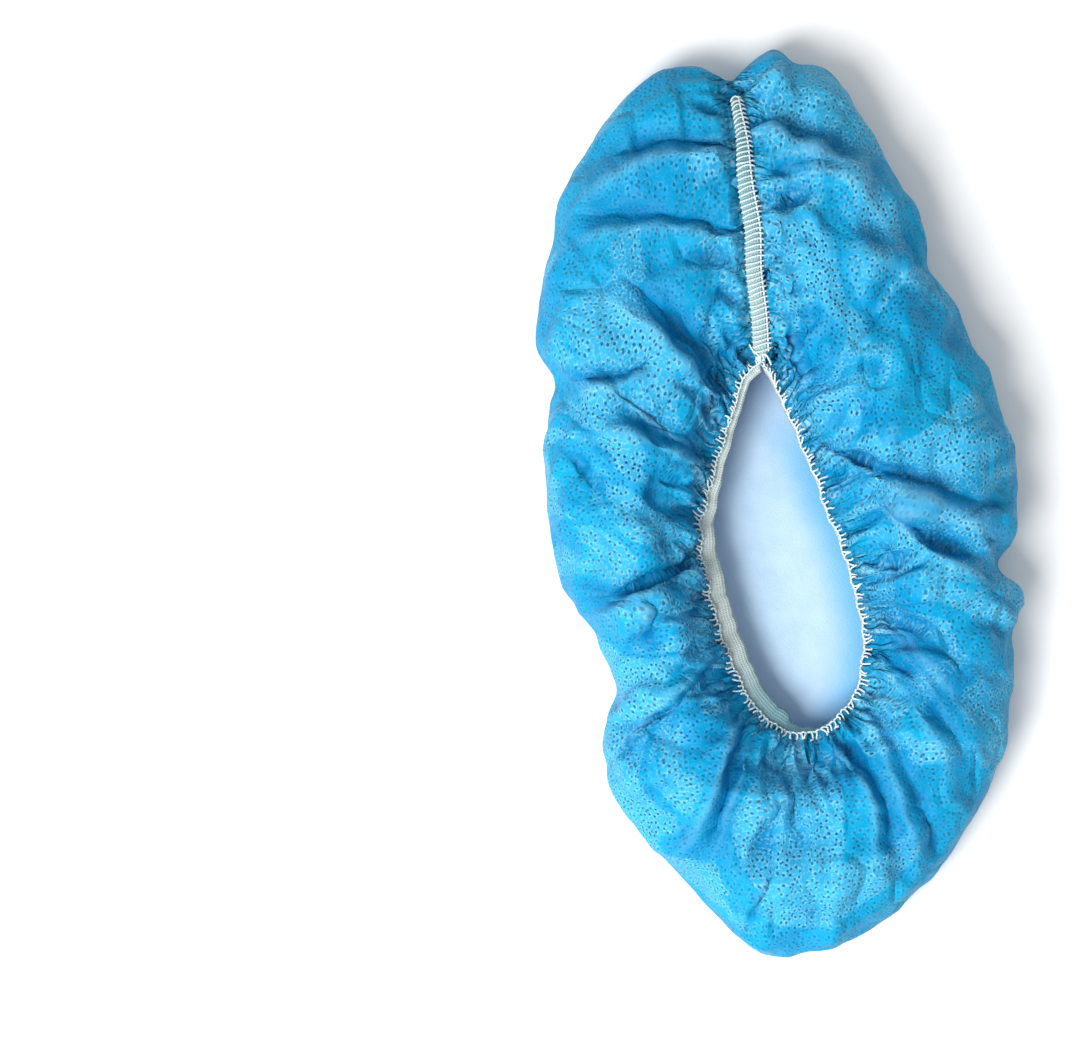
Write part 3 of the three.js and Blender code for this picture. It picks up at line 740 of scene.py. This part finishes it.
# crest and valley carry the painted highlight and the painted shade of the folds to the material
upper = add_mesh("upper_cloth", points, faces, nonwoven, np.tile(panel.reshape(-1, 2), (2, 1)),
                 {"crest": np.tile(crest.ravel(), 2), "valley": np.tile(valley.ravel(), 2),
                  "round_rim": np.tile(round_rim.ravel(), 2), "from_rim": np.tile(laid.ravel(), 2),
                  "from_seam": np.tile(from_seam.ravel(), 2)})
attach(upper, "root")
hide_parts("upper")

# ---------------------------------------------------------------------------------------------
# The sole sheet. A long oval of white polypropylene with a thin film on it, lying flat inside
# the bag, cut to the shape that the upper's under edge leaves and sewn to it all round.
SOLE_THICKNESS = 0.5
SOLE_GAP = 0.3
SOLE_RINGS = 36
HELD_DOWN = 16  # how far in the seam holds it down

hem = cloth[::2, -1].copy()
hem_way = np.roll(hem, -2, 0) - np.roll(hem, 2, 0)
inward = np.cross(hem_way, [0, 0, -1.0])
inward_hem = unit(inward * np.sign(-(inward * hem).sum(1, keepdims=True)))
outline = hem + inward_hem * SOLE_GAP
ring_share = np.linspace(1, 0, SOLE_RINGS + 1)[None, :-1, None]
middle = 0.5 * (hem.min(0) + hem.max(0)) * (1, 1, 0)
sole_points = middle + (outline - middle)[:, None] * ring_share
x, y = sole_points[..., 0], sole_points[..., 1]
# it lies nearly flat in long low waves, and is held down at its seam
lift = np.zeros_like(x)
WAVES = [
    # height, wavelength, direction in degrees, start
    (0.5, 62, 12, 0.4), (0.4, 41, 64, 2.1), (0.25, 28, -33, 4.0), (0.12, 19, 81, 1.2),
]
for height, wave, turn, begin in WAVES:
    way = math.radians(turn)
    turns = (x * math.cos(way) + y * math.sin(way)) / wave
    lift += height * (0.6 + 0.4 * np.sin(turns * 2 * math.pi + begin))
from_edge = (1 - ring_share[..., 0]) * np.linalg.norm(outline - middle, axis=1)[:, None]
sole_points[..., 2] = SOLE_THICKNESS + lift * smooth(0, HELD_DOWN, from_edge)

# the blue light that the upper lets through falls on the sole beside the opening's right edge
edge = cloth[ROUNDS // 2:, 0]
edge_x = np.interp(y, edge[:, 1], edge[:, 0])
cast = smooth(-15, 1, x - edge_x) * smooth(-95, -70, y) * (1 - smooth(10, 42, y))

# White polypropylene spunbond under a film of polyethylene: soft satin, nearly white, with a
# fine even grain of filaments and a faint blue painted on it, the light from the cloth round it.
SOLE_WHITE = "#B8D3E8"
SOLE_SHADE = "#B0CDE5"
# painted blue light from the cloth, beside the opening's right edge
SOLE_CAST = "#74BCE8"
GRAIN_SIZE, GRAIN_DEPTH = 0.8, 0.15  # the real grain is finer
CLOUD_SIZE, CLOUD_DEPTH = 9.0, 0.3
film, tree = new_material("white_coated_polypropylene")
place = add_node(tree, "UVMap", uv_map="panel")
grain = add_node(tree, "TexNoise", {"Vector": place, "Scale": 1 / GRAIN_SIZE, "Detail": 4.0,
                 "Roughness": 0.6}, noise_dimensions="2D")
clouds = add_node(tree, "TexNoise", {"Vector": place, "Scale": 1 / CLOUD_SIZE, "Detail": 3.0},
                  noise_dimensions="2D")
shade = add_node(tree, "MapRange", {0: clouds, 1: 0.35, 2: 0.7, 3: 0.0, 4: 1.0})
cast_here = add_node(tree, "Attribute", attribute_name="cast").outputs["Fac"]
colour = srgb(SOLE_WHITE)
for share, over in [(shade, SOLE_SHADE), (cast_here, SOLE_CAST)]:
    colour = add_node(tree, "Mix", {0: share, 6: colour, 7: srgb(over)}, data_type="RGBA").outputs[2]
rough = add_node(tree, "Bump", {"Height": grain, "Strength": 0.7, "Distance": GRAIN_DEPTH * MM})
waved = add_node(tree, "Bump", {"Height": clouds, "Strength": 0.4, "Distance": CLOUD_DEPTH * MM,
                 "Normal": rough})
gloss = add_node(tree, "MapRange", {0: grain, 1: 0.3, 2: 0.7, 3: 0.62, 4: 0.48})
surface = add_node(tree, "BsdfPrincipled", {"Base Color": colour, "Roughness": gloss,
                   "Normal": waved, "IOR": 1.5, "Specular IOR Level": 0.4})
add_node(tree, "OutputMaterial", {0: surface})

rounds = len(hem)
down = np.array([0, 0, SOLE_THICKNESS])
middle = sole_points[:, -1].mean(0)
both_faces = np.concatenate([
    sole_points.reshape(-1, 3), (sole_points - down).reshape(-1, 3), [middle, middle - down],
])
back = rounds * SOLE_RINGS
here = np.arange(rounds) * SOLE_RINGS
after = np.roll(here, -1)
rim_faces = np.stack([here, here + back, after + back, after], 1)
last, next_last = here + SOLE_RINGS - 1, after + SOLE_RINGS - 1
faces = []
for group in (
    grid_faces(rounds, SOLE_RINGS, flip=True),
    grid_faces(rounds, SOLE_RINGS, back),
    rim_faces,
    np.stack([last, next_last, np.full(rounds, 2 * back)], 1),
    np.stack([next_last + back, last + back, np.full(rounds, 2 * back + 1)], 1),
):
    faces += group.tolist()
cast = np.concatenate([np.tile(cast.ravel(), 2), [0, 0]])
sole = add_mesh("sole_sheet", both_faces, faces, film, both_faces[:, :2], {"cast": cast})
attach(sole, "root")
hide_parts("sole")

# ---------------------------------------------------------------------------------------------
# The elastic round the opening. A narrow knitted band of covered rubber, cream grey, stretched
# while the cloth's edge was overlocked over it. On the left it has rolled inwards and shows as a
# strip inside the edge; on the right it has turned down out of sight.
BAND_WIDTH = 3.2
ROLLED_WIDTH = 4.4  # what shows more where it has rolled inwards
BAND_THICKNESS = 0.7
BAND_RIPPLE, BAND_RIPPLES = 0.08, 67  # how high they are, and how many go round
BAND_UNDER, BAND_BELOW = 0.3, 0.9  # how far it reaches under the cloth's edge and lies below it
BAND_STEPS = 360
BAND_ACROSS = 5


def round_the_edge(steps, blurred=0):
    # points spaced evenly round the opening's edge, and the column that each is at
    edge = cloth[:, 0].copy()
    for _ in range(blurred):
        edge = 0.5 * edge + 0.25 * (np.roll(edge, 1, 0) + np.roll(edge, -1, 0))
    ring = np.vstack([edge, edge[:1]])
    run = run_along(ring)
    at = np.arange(steps) / steps * run[-1]
    column = np.interp(at, run, np.arange(len(ring)))
    return points_at(at, run, ring), column, run[-1]


edge, _, edge_length = round_the_edge(BAND_STEPS, blurred=6)
way = unit(np.roll(edge, -2, 0) - np.roll(edge, 2, 0))
inward = np.cross(way, [0, 0, -1.0])
inward = unit(inward * np.sign(((edge.mean(0) - edge) * inward).sum(1, keepdims=True)))
# the band stands inwards on the left side of the opening and hangs down on the right side
rolled = smooth(-0.45, 0.75, inward[:, 0])[:, None]
hang = unit(inward * (0.25 + 0.75 * rolled) + np.array([0, 0, -1.0]) * (1.05 - 0.75 * rolled))
face = np.cross(way, hang)
face *= np.sign((face * (inward * 0.3 + np.array([0, 0, 1.0]))).sum(1, keepdims=True))
across = np.linspace(0, 1, BAND_ACROSS)[None, :]
across = across * (BAND_WIDTH + ROLLED_WIDTH * smooth(35, -45, edge[:, 1:2]) * rolled)
ripple = np.sin(np.arange(BAND_STEPS) / BAND_STEPS * 2 * math.pi * BAND_RIPPLES)
ripple = BAND_RIPPLE * ripple[:, None, None]
upper_face = edge[:, None] + hang[:, None] * (across[:, :, None] - BAND_UNDER)
upper_face = upper_face - np.array([0, 0, BAND_BELOW])
upper_face = upper_face + face[:, None] * ripple * (across[:, :, None] / BAND_WIDTH)
lower_face = upper_face - face[:, None] * BAND_THICKNESS
section = np.concatenate([upper_face, lower_face[:, ::-1]], 1)


def closed_tube_faces(rounds, sides):
    # quads of a tube that goes round and meets itself
    index = np.arange(rounds * sides).reshape(rounds, sides)
    beside = np.roll(index, -1, 0)
    faces = np.stack([index, beside, np.roll(beside, -1, 1), np.roll(index, -1, 1)], 2)
    return faces.reshape(-1, 4).tolist()


# Knitted polyester over rubber threads: matt cream with a grey-green cast, ribbed across by the
# knit every 0.9 mm and grooved along between its rubber threads.
ELASTIC_CREAM = "#D3DCD6"
ELASTIC_SHADE = "#AFBDBB"
# painted light and shade: the cloth's blue light on the tape, and darker painted shade on the band
# towards the heel
ELASTIC_CAST = "#6FA3AC"
RIB_PITCH = 0.9
GROOVE_PITCH = 1.1
KNIT_DEPTH = 0.25
HAIR_SIZE = 0.7
elastic, tree = new_material("knitted_cream_elastic")
place = add_node(tree, "UVMap", uv_map="panel")
parts = add_node(tree, "SeparateXYZ", {0: place})
waves = []
for value, pitch in [(parts.outputs[0], RIB_PITCH), (parts.outputs[1], GROOVE_PITCH)]:
    turns = add_node(tree, "Math", {0: value, 1: 2 * math.pi / pitch}, operation="MULTIPLY")
    swing = add_node(tree, "Math", {0: turns}, operation="SINE")
    waves.append(add_node(tree, "MapRange", {0: swing, 1: -1.0, 2: 1.0}))
knit = add_node(tree, "Math", {0: waves[0], 1: waves[1]}, operation="MULTIPLY")
hairs = add_node(tree, "TexNoise", {"Vector": place, "Scale": 1 / HAIR_SIZE, "Detail": 3.0},
                 noise_dimensions="2D")
tone = add_node(tree, "Math", {0: knit, 1: hairs}, operation="ADD")
tone = add_node(tree, "MapRange", {0: tone, 1: 0.35, 2: 1.2, 3: 0.0, 4: 1.0})
cast_here = add_node(tree, "Attribute", attribute_name="cast").outputs["Fac"]
colour = srgb(ELASTIC_SHADE)
for share, over in [(tone, ELASTIC_CREAM), (cast_here, ELASTIC_CAST)]:
    colour = add_node(tree, "Mix", {0: share, 6: colour, 7: srgb(over)}, data_type="RGBA").outputs[2]
relief = add_node(tree, "Bump", {"Height": knit, "Strength": 1.0, "Distance": KNIT_DEPTH * MM})
gloss = add_node(tree, "MapRange", {0: hairs, 1: 0.3, 2: 0.7, 3: 0.85, 4: 0.7})
surface = add_node(tree, "BsdfPrincipled", {"Base Color": colour, "Roughness": gloss,
                   "Normal": relief, "IOR": 1.5, "Specular IOR Level": 0.25, "Sheen Weight": 0.2})
add_node(tree, "OutputMaterial", {0: surface})

sides = 2 * BAND_ACROSS
along_band = np.repeat(np.arange(BAND_STEPS)[:, None] / BAND_STEPS * edge_length, sides, 1)
over_band = np.concatenate([across, across[:, ::-1] + BAND_WIDTH], 1)
# towards the heel the band is painted a darker blue grey: painted shade, with the blue light that comes
# through the cloth
cast = np.repeat(0.85 * smooth(-48, -84, edge[:, 1]), sides)
band = add_mesh("opening_elastic_band", section.reshape(-1, 3), closed_tube_faces(BAND_STEPS, sides),
                elastic, np.stack([along_band, over_band], 2).reshape(-1, 2), {"cast": cast})
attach(band, "root")
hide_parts("opening_elastic")

# ---------------------------------------------------------------------------------------------
# The overlock round the opening. White textured polyester thread that wraps the cloth's raw edge
# and the elastic together: one leg over the outside, round the edge and back inside.
THREAD = 0.72  # thickness
STITCH = 3.7  # along the edge, with two legs in each
LEG = 2.4  # how far a leg reaches from the edge
LOOP_POINTS, PURL_POINTS = 26, 10


def on_cloth(column, distance):
    # a point of the outer face, and its normal, that far over the cloth from the opening's edge
    column = np.asarray(column, float) % ROUNDS
    k = np.floor(column).astype(int) % ROUNDS
    t = (column - np.floor(column))[:, None]
    row = np.clip(np.asarray(distance, float) / (laid[k, 1] - laid[k, 0]), 0, ROWS - 1.001)
    j = row.astype(int)
    s = (row - j)[:, None]
    after = (k + 1) % ROUNDS

    def sample(field):
        near = field[k, j] * (1 - s) + field[k, j + 1] * s
        far = field[after, j] * (1 - s) + field[after, j + 1] * s
        return near * (1 - t) + far * t

    return sample(cloth), sample(normals)


def rounded(path, steps):
    # a smooth run of that many steps through the points of each path
    n = path.shape[1]
    place = np.linspace(0, n - 1 - 1e-6, steps)
    k = place.astype(int)
    t = (place - k)[None, :, None]
    at = lambda i: path[:, np.clip(i, 0, n - 1)]
    return spline_weights(t, at(k - 1), at(k), at(k + 1), at(k + 2))


def threads(paths, thickness, sides=6):
    # round threads along many paths at once, each closed at its ends
    count, steps = paths.shape[:2]
    way = unit(np.gradient(paths, axis=1))
    side = np.empty_like(paths)
    # the ring of points round each thread starts square to it and is carried along without twist
    first = np.cross(way[:, 0], [0.31, 0.17, 0.93])
    for i in range(steps):
        first = unit(first - (first * way[:, i]).sum(1, keepdims=True) * way[:, i])
        side[:, i] = first
    other = np.cross(way, side)
    turn = np.arange(sides) / sides * 2 * math.pi
    ring = np.cos(turn)[:, None] * side[:, :, None] + np.sin(turn)[:, None] * other[:, :, None]
    points = paths[:, :, None] + 0.5 * thickness * ring
    index = np.arange(count * steps * sides).reshape(count, steps, sides)
    beside = np.roll(index, -1, 2)
    quads = np.stack([index[:, :-1], beside[:, :-1], beside[:, 1:], index[:, 1:]], 3).reshape(-1, 4)
    caps = [index[:, 0, ::-1], index[:, -1]]
    run = np.cumsum(np.linalg.norm(np.diff(paths, axis=1, prepend=paths[:, :1]), axis=2), 1)
    laid_out = np.stack([np.repeat(run[:, :, None], sides, 2),
                         np.broadcast_to(turn / (2 * math.pi) * thickness * 3, index.shape)], 3)
    return points.reshape(-1, 3), quads, np.concatenate(caps), laid_out.reshape(-1, 2)


def add_threads(name, runs, material):
    # one piece of several runs of threads, all of one thickness
    points, panel, faces, offset = [], [], [], 0
    for paths in runs:
        p, quads, caps, laid_out = threads(paths, THREAD)
        faces += (quads + offset).tolist() + (caps + offset).tolist()
        points.append(p)
        panel.append(laid_out)
        offset += len(p)
    return add_mesh(name, np.concatenate(points), faces, material, np.concatenate(panel))


# Textured polyester thread: white, two plies twisted every 0.9 mm, so it looks like a fine rope
# with soft dark grooves, which are painted shade.
THREAD_WHITE = "#F2F8F8"
THREAD_GROOVE_SHADE = "#A9C6CC"
PLY_PITCH, PLY_DEPTH = 0.9, 0.12
FUZZ_SIZE = 0.3
white_thread, tree = new_material("white_polyester_thread")
place = add_node(tree, "UVMap", uv_map="panel")
parts = add_node(tree, "SeparateXYZ", {0: place})
slant = add_node(tree, "Math", {0: parts.outputs[1], 1: 0.7, 2: parts.outputs[0]},
                 operation="MULTIPLY_ADD")
turns = add_node(tree, "Math", {0: slant, 1: 2 * math.pi / PLY_PITCH}, operation="MULTIPLY")
swing = add_node(tree, "Math", {0: turns}, operation="SINE")
ply = add_node(tree, "MapRange", {0: swing, 1: -1.0, 2: 1.0})
hairs = add_node(tree, "TexNoise", {"Vector": place, "Scale": 1 / FUZZ_SIZE, "Detail": 2.0},
                 noise_dimensions="2D")
colour = add_node(tree, "Mix", {0: ply, 6: srgb(THREAD_GROOVE_SHADE), 7: srgb(THREAD_WHITE)},
                  data_type="RGBA").outputs[2]
relief = add_node(tree, "Bump", {"Height": ply, "Strength": 0.8, "Distance": PLY_DEPTH * MM})
gloss = add_node(tree, "MapRange", {0: hairs, 1: 0.3, 2: 0.7, 3: 0.75, 4: 0.55})
surface = add_node(tree, "BsdfPrincipled", {"Base Color": colour, "Roughness": gloss,
                   "Normal": relief, "IOR": 1.55, "Specular IOR Level": 0.35, "Sheen Weight": 0.3})
add_node(tree, "OutputMaterial", {0: surface})

stitches = round(edge_length / STITCH)
place = np.arange(stitches) / stitches
_, at_edge, _ = round_the_edge(stitches * 8)


def edge_column(share):
    # the column at a share of the way round the edge
    spot = (share % 1) * len(at_edge)
    return at_edge[np.floor(spot).astype(int) % len(at_edge)]


def raised(column, distance, height):
    point, normal = on_cloth(column, distance)
    return point + normal * np.reshape(height, (-1, 1))


leg = LEG + chance.normal(0, 0.6, stitches)
lean = chance.normal(0, 0.13, stitches)
one = 1 / stitches
other_leg = LEG + chance.normal(0, 0.5, stitches)
other_lean = chance.normal(0, 0.10, stitches)
LOOP = [
    # which leg, place along the stitch, shares of the leg's lean and of its reach, then how much
    # further from the edge in mm, and the height over the cloth
    (0, 0.06, 1, 1, 0, -0.7), (0, 0.07, 1, 0.88, 0, 0.4), (0, 0.10, 0.5, 0.45, 0, 0.6),
    (0, 0.12, 0, 0, 0.4, 0.5), (0, 0.20, 0, 0, 0, -0.5), (0, 0.28, 0, 0, 1.6, -1.3),
    (0, 0.36, 0, 0, 3.0, -1.3), (1, 0.46, 0, 0, 1.6, -1.3), (1, 0.54, 0, 0, 0, -0.5),
    (1, 0.62, 0, 0, 0.4, 0.5), (1, 0.60, 0.5, 0.45, 0, 0.6), (1, 0.57, 1, 0.88, 0, 0.4),
    (1, 0.56, 1, 1, 0, -0.7),
]
PURL = [
    # place along the stitch, height over the cloth
    (0, 0.3), (0.25, 0.75), (0.5, 0.1), (0.75, 0.75), (1, 0.3),
]
loop = [
    raised(edge_column(place + (along + part * (lean, other_lean)[which]) * one),
           (leg, other_leg)[which] * reach + further, height)
    for which, along, part, reach, further, height in LOOP
]
legs = rounded(np.stack(loop, 1), LOOP_POINTS)
edge_run = [raised(edge_column(place + share * one), 0.1 + 0 * leg, height) for share, height in PURL]
purl = rounded(np.stack(edge_run, 1), PURL_POINTS)
overlock = add_threads("opening_overlock", [legs, purl], white_thread)
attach(overlock, "root")

# ---------------------------------------------------------------------------------------------
# The instep tape. The same knitted elastic, wider, laid along the instep seam from the point of
# the opening to the toe and overlocked to it, so its stitches cross it and show on its right.
TAPE_WIDTH = 5.2
TAPE_END_WIDTH = 2.6
TAPE_THICKNESS = 0.8
TAPE_STEPS = 120
TAPE_FROM, TAPE_LONG = 3.0, 96.0  # from the opening's edge, over the cloth
TAPE_CLEAR = 0.4
TAPE_ACROSS = 7

station = np.linspace(0, 1, TAPE_STEPS)
wide = TAPE_WIDTH + (TAPE_END_WIDTH - TAPE_WIDTH) * smooth(0.55, 1.0, station)
seam_rows = np.linspace(TAPE_FROM, TAPE_FROM + TAPE_LONG, TAPE_STEPS)
seam = points_at(seam_rows, run_along(seam_bed), seam_bed)
seam_way = unit(np.gradient(seam, axis=0))
seam_side = unit(np.cross(seam_way, [0, 0, 1.0]))
seam_up = np.cross(seam_side, seam_way)
across = np.linspace(-0.5, 0.5, TAPE_ACROSS)
bulge = 0.5 * (1 - (2 * across) ** 2)
tape_top = (seam[:, None] + seam_side[:, None] * (across[None, :, None] * wide[:, None, None])
            + seam_up[:, None] * (TAPE_CLEAR + TAPE_THICKNESS + bulge)[None, :, None])
tape_bottom = tape_top - seam_up[:, None] * TAPE_THICKNESS
section = np.concatenate([tape_top, tape_bottom[:, ::-1]], 1)
sides = 2 * TAPE_ACROSS
index = np.arange(TAPE_STEPS * sides).reshape(TAPE_STEPS, sides)
beside = np.roll(index, -1, 1)
faces = np.stack([index[:-1], index[1:], beside[1:], beside[:-1]], 2).reshape(-1, 4).tolist()
faces += [index[0].tolist(), index[-1, ::-1].tolist()]
run = np.repeat(seam_rows[:, None], sides, 1)
over = np.concatenate([across * TAPE_WIDTH, TAPE_WIDTH - across * TAPE_WIDTH])
over = over[None, :].repeat(TAPE_STEPS, 0)
# the tape lies in the blue light of the cloth on both sides, and more so towards the toe
cast = np.repeat(0.5 + 0.4 * smooth(0.1, 0.8, station), sides)
tape = add_mesh("instep_elastic_tape", section.reshape(-1, 3), faces, elastic,
                np.stack([run, over], 2).reshape(-1, 2), {"cast": cast})
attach(tape, "root")
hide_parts("instep_elastic")

# ---------------------------------------------------------------------------------------------
# The instep overlock. The same white thread crosses the tape in slanted legs, dives through the
# cloth past its right edge, and is tied off in a small knot at the point of the opening.
INSTEP_STITCH = 1.9
INSTEP_REACH = 2.0  # past the tape's right edge
INSTEP_POINTS, CHAIN_POINTS = 16, 8
KNOT_HEIGHT, KNOT_POINTS, TAIL_POINTS = 1.6, 16, 16

stitches = round(TAPE_LONG / INSTEP_STITCH)
share = (np.arange(stitches) + 0.5) / stitches
thick = TAPE_CLEAR + TAPE_THICKNESS


def beside_tape(share, over, height):
    # a point beside the seam: over is counted in half widths of the tape, then in millimetres
    spot = np.clip(share, 0, 1) * (TAPE_STEPS - 1)
    steps = np.arange(TAPE_STEPS)
    half = 0.5 * np.interp(spot, steps, wide)
    sideways = np.clip(over, -1, 1) * half + (over - np.clip(over, -1, 1))
    point = points_at(spot, steps, seam) + points_at(spot, steps, seam_side) * sideways[:, None]
    return point + points_at(spot, steps, seam_up) * height


one = 1 / stitches
wobble = chance.normal(0, 0.12, stitches)
reach = 1 + INSTEP_REACH + chance.normal(0, 0.35, stitches)
cross = [
    beside_tape(share, -1.1 + 0 * share, thick - 0.6),
    beside_tape(share + 0.1 * one, -0.8 + 0 * share, thick + 0.55),
    beside_tape(share + (0.35 + wobble) * one, 0 * share, thick + 0.95),
    beside_tape(share + (0.6 + wobble) * one, 0.85 + 0 * share, thick + 0.65),
    beside_tape(share + 0.7 * one, 0.5 * (1 + reach), thick + 0.35),
    beside_tape(share + 0.75 * one, reach, thick - 1.2),
]
legs = rounded(np.stack(cross, 1), INSTEP_POINTS)
chain = [
    beside_tape(share + part * one, 1.25 + 0 * share, thick + height)
    for part, height in [(0, -0.5), (0.25, 0.55), (0.6, 0.6), (1.0, -0.4)]
]
chain = rounded(np.stack(chain, 1), CHAIN_POINTS)

# the knot: loops of the thread round the seam's end, and its two cut tails
turn = np.linspace(0, 2 * math.pi, KNOT_POINTS)
knot_at = 0.5 * (cloth[0, 0] + seam[0]) + np.array([0, 0, KNOT_HEIGHT])
KNOT_LOOPS = [
    # radius, width share, tilt and turn in degrees
    (1.7, 0.5, 20, 15), (1.5, 0.6, 70, 80), (1.4, 0.5, -35, 130), (1.8, 0.35, 50, 50),
    (1.2, 0.8, 10, 100),
]
loops = []
for size, share_wide, tilt, spin in KNOT_LOOPS:
    ring = np.stack([size * np.cos(turn), size * share_wide * np.sin(turn), 0 * turn], 1)
    tilt, spin = math.radians(tilt), math.radians(spin)
    c, s = math.cos(tilt), math.sin(tilt)
    leaning = np.array([[1, 0, 0], [0, c, -s], [0, s, c]])
    c, s = math.cos(spin), math.sin(spin)
    spun = np.array([[c, -s, 0], [s, c, 0], [0, 0, 1]])
    loops.append(ring @ leaning.T @ spun.T + knot_at)
TAILS = [
    # steps from the knot, x, y, z
    [(0, 0, 0), (-1.5, 1.2, 0.9), (-3.2, 3.0, 0.8), (-4.3, 5.6, 0.2)],
    [(0, 0, 0), (1.4, 1.0, 1.0), (2.6, -0.8, 1.2), (3.4, -3.0, 0.6)],
]
tails = rounded(knot_at + np.array(TAILS, float), TAIL_POINTS)
runs = [legs, chain, np.stack(loops), tails]
instep_overlock = add_threads("instep_overlock", runs, white_thread)
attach(instep_overlock, "root")

# ---------------------------------------------------------------------------------------------
# The sole's seam. White thread again, zigzag over the butted edges of the upper and the sole,
# on the inside of the bag.
SOLE_STITCH = 4.0
ZIGZAG_POINTS = 12
ring = np.vstack([outline, outline[:1]])
way_in = np.vstack([inward_hem, inward_hem[:1]])
run = run_along(ring)
stitches = round(run[-1] / SOLE_STITCH)


def on_seam(share, inside, height):
    # a point that far inside the seam's line and above it, at a share of the way round
    at = (share % 1) * run[-1]
    return points_at(at, run, ring) + points_at(at, run, way_in) * inside + np.array([0, 0, height])


share = np.arange(stitches) / stitches
one = 1 / stitches
zigzag = np.stack([
    on_seam(share, -2.0, 0.75),
    on_seam(share + 0.25 * one, 0.0, 1.05),
    on_seam(share + 0.5 * one, 2.0, 0.95),
    on_seam(share + 0.75 * one, 0.0, 1.05),
    on_seam(share + one, -2.0, 0.75),
], 1)
zigzag = rounded(zigzag, ZIGZAG_POINTS)
sole_stitching = add_threads("sole_seam_stitching", [zigzag], white_thread)
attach(sole_stitching, "root")

# ---------------------------------------------------------------------------------------------
# The studio: a plain white table, an even bright room, and one large soft lamp high on the heel's
# left, which leaves the toe side and the right of each fold in shade. The camera looks straight
# down. All sizes here but the table's are metres.
TABLE = 6000  # millimetres square
ROOM_LIGHT = 0.56
KEY_PLACE = (-0.72, -0.54, 1.12)
KEY_SIZE = 0.80
KEY_POWER = 28

# a matt painted board: nearly white and even
table_white, tree = new_material("white_painted_board")
speck = add_node(tree, "TexNoise", {"Scale": 40.0, "Detail": 2.0})
tone = add_node(tree, "MapRange", {0: speck, 1: 0.3, 2: 0.7, 3: 0.93, 4: 0.95})
white = add_node(tree, "CombineColor", {0: tone, 1: tone, 2: tone})
surface = add_node(tree, "BsdfPrincipled", {"Base Color": white, "Roughness": 0.8})
add_node(tree, "OutputMaterial", {0: surface})
corners = np.array([(-1, -1, 0), (1, -1, 0), (1, 1, 0), (-1, 1, 0)]) * (TABLE / 2, TABLE / 2, 0)
table = add_mesh("table", corners, [[0, 1, 2, 3]], table_white)

scene = bpy.context.scene
scene.view_settings.view_transform = "Standard"
room = bpy.data.worlds.new("bright_room")
room.use_nodes = True
room.node_tree.nodes["Background"].inputs[0].default_value = (1, 1, 1, 1)
room.node_tree.nodes["Background"].inputs[1].default_value = ROOM_LIGHT
scene.world = room

lamp = bpy.data.lights.new("key_softbox", "AREA")
lamp.size = KEY_SIZE
lamp.energy = KEY_POWER
holder = bpy.data.objects.new("key_softbox", lamp)
scene.collection.objects.link(holder)
holder.location = KEY_PLACE
holder.rotation_euler = (-Vector(KEY_PLACE)).to_track_quat("-Z", "Y").to_euler()

CAMERA_PLACE = (-0.0895, -0.005, 1.23)
CAMERA_TURN = -3.15  # degrees
SENSOR_WIDTH = 36  # millimetres
VIEW_WIDTH, VIEW_DISTANCE = 0.387, 1.2  # what the view spans at that distance
lens = bpy.data.cameras.new("camera")
lens.sensor_width = SENSOR_WIDTH
lens.lens = SENSOR_WIDTH * VIEW_DISTANCE / VIEW_WIDTH
camera = bpy.data.objects.new("camera", lens)
scene.collection.objects.link(camera)
camera.location = CAMERA_PLACE
camera.rotation_euler = (0, 0, math.radians(CAMERA_TURN))
scene.camera = camera
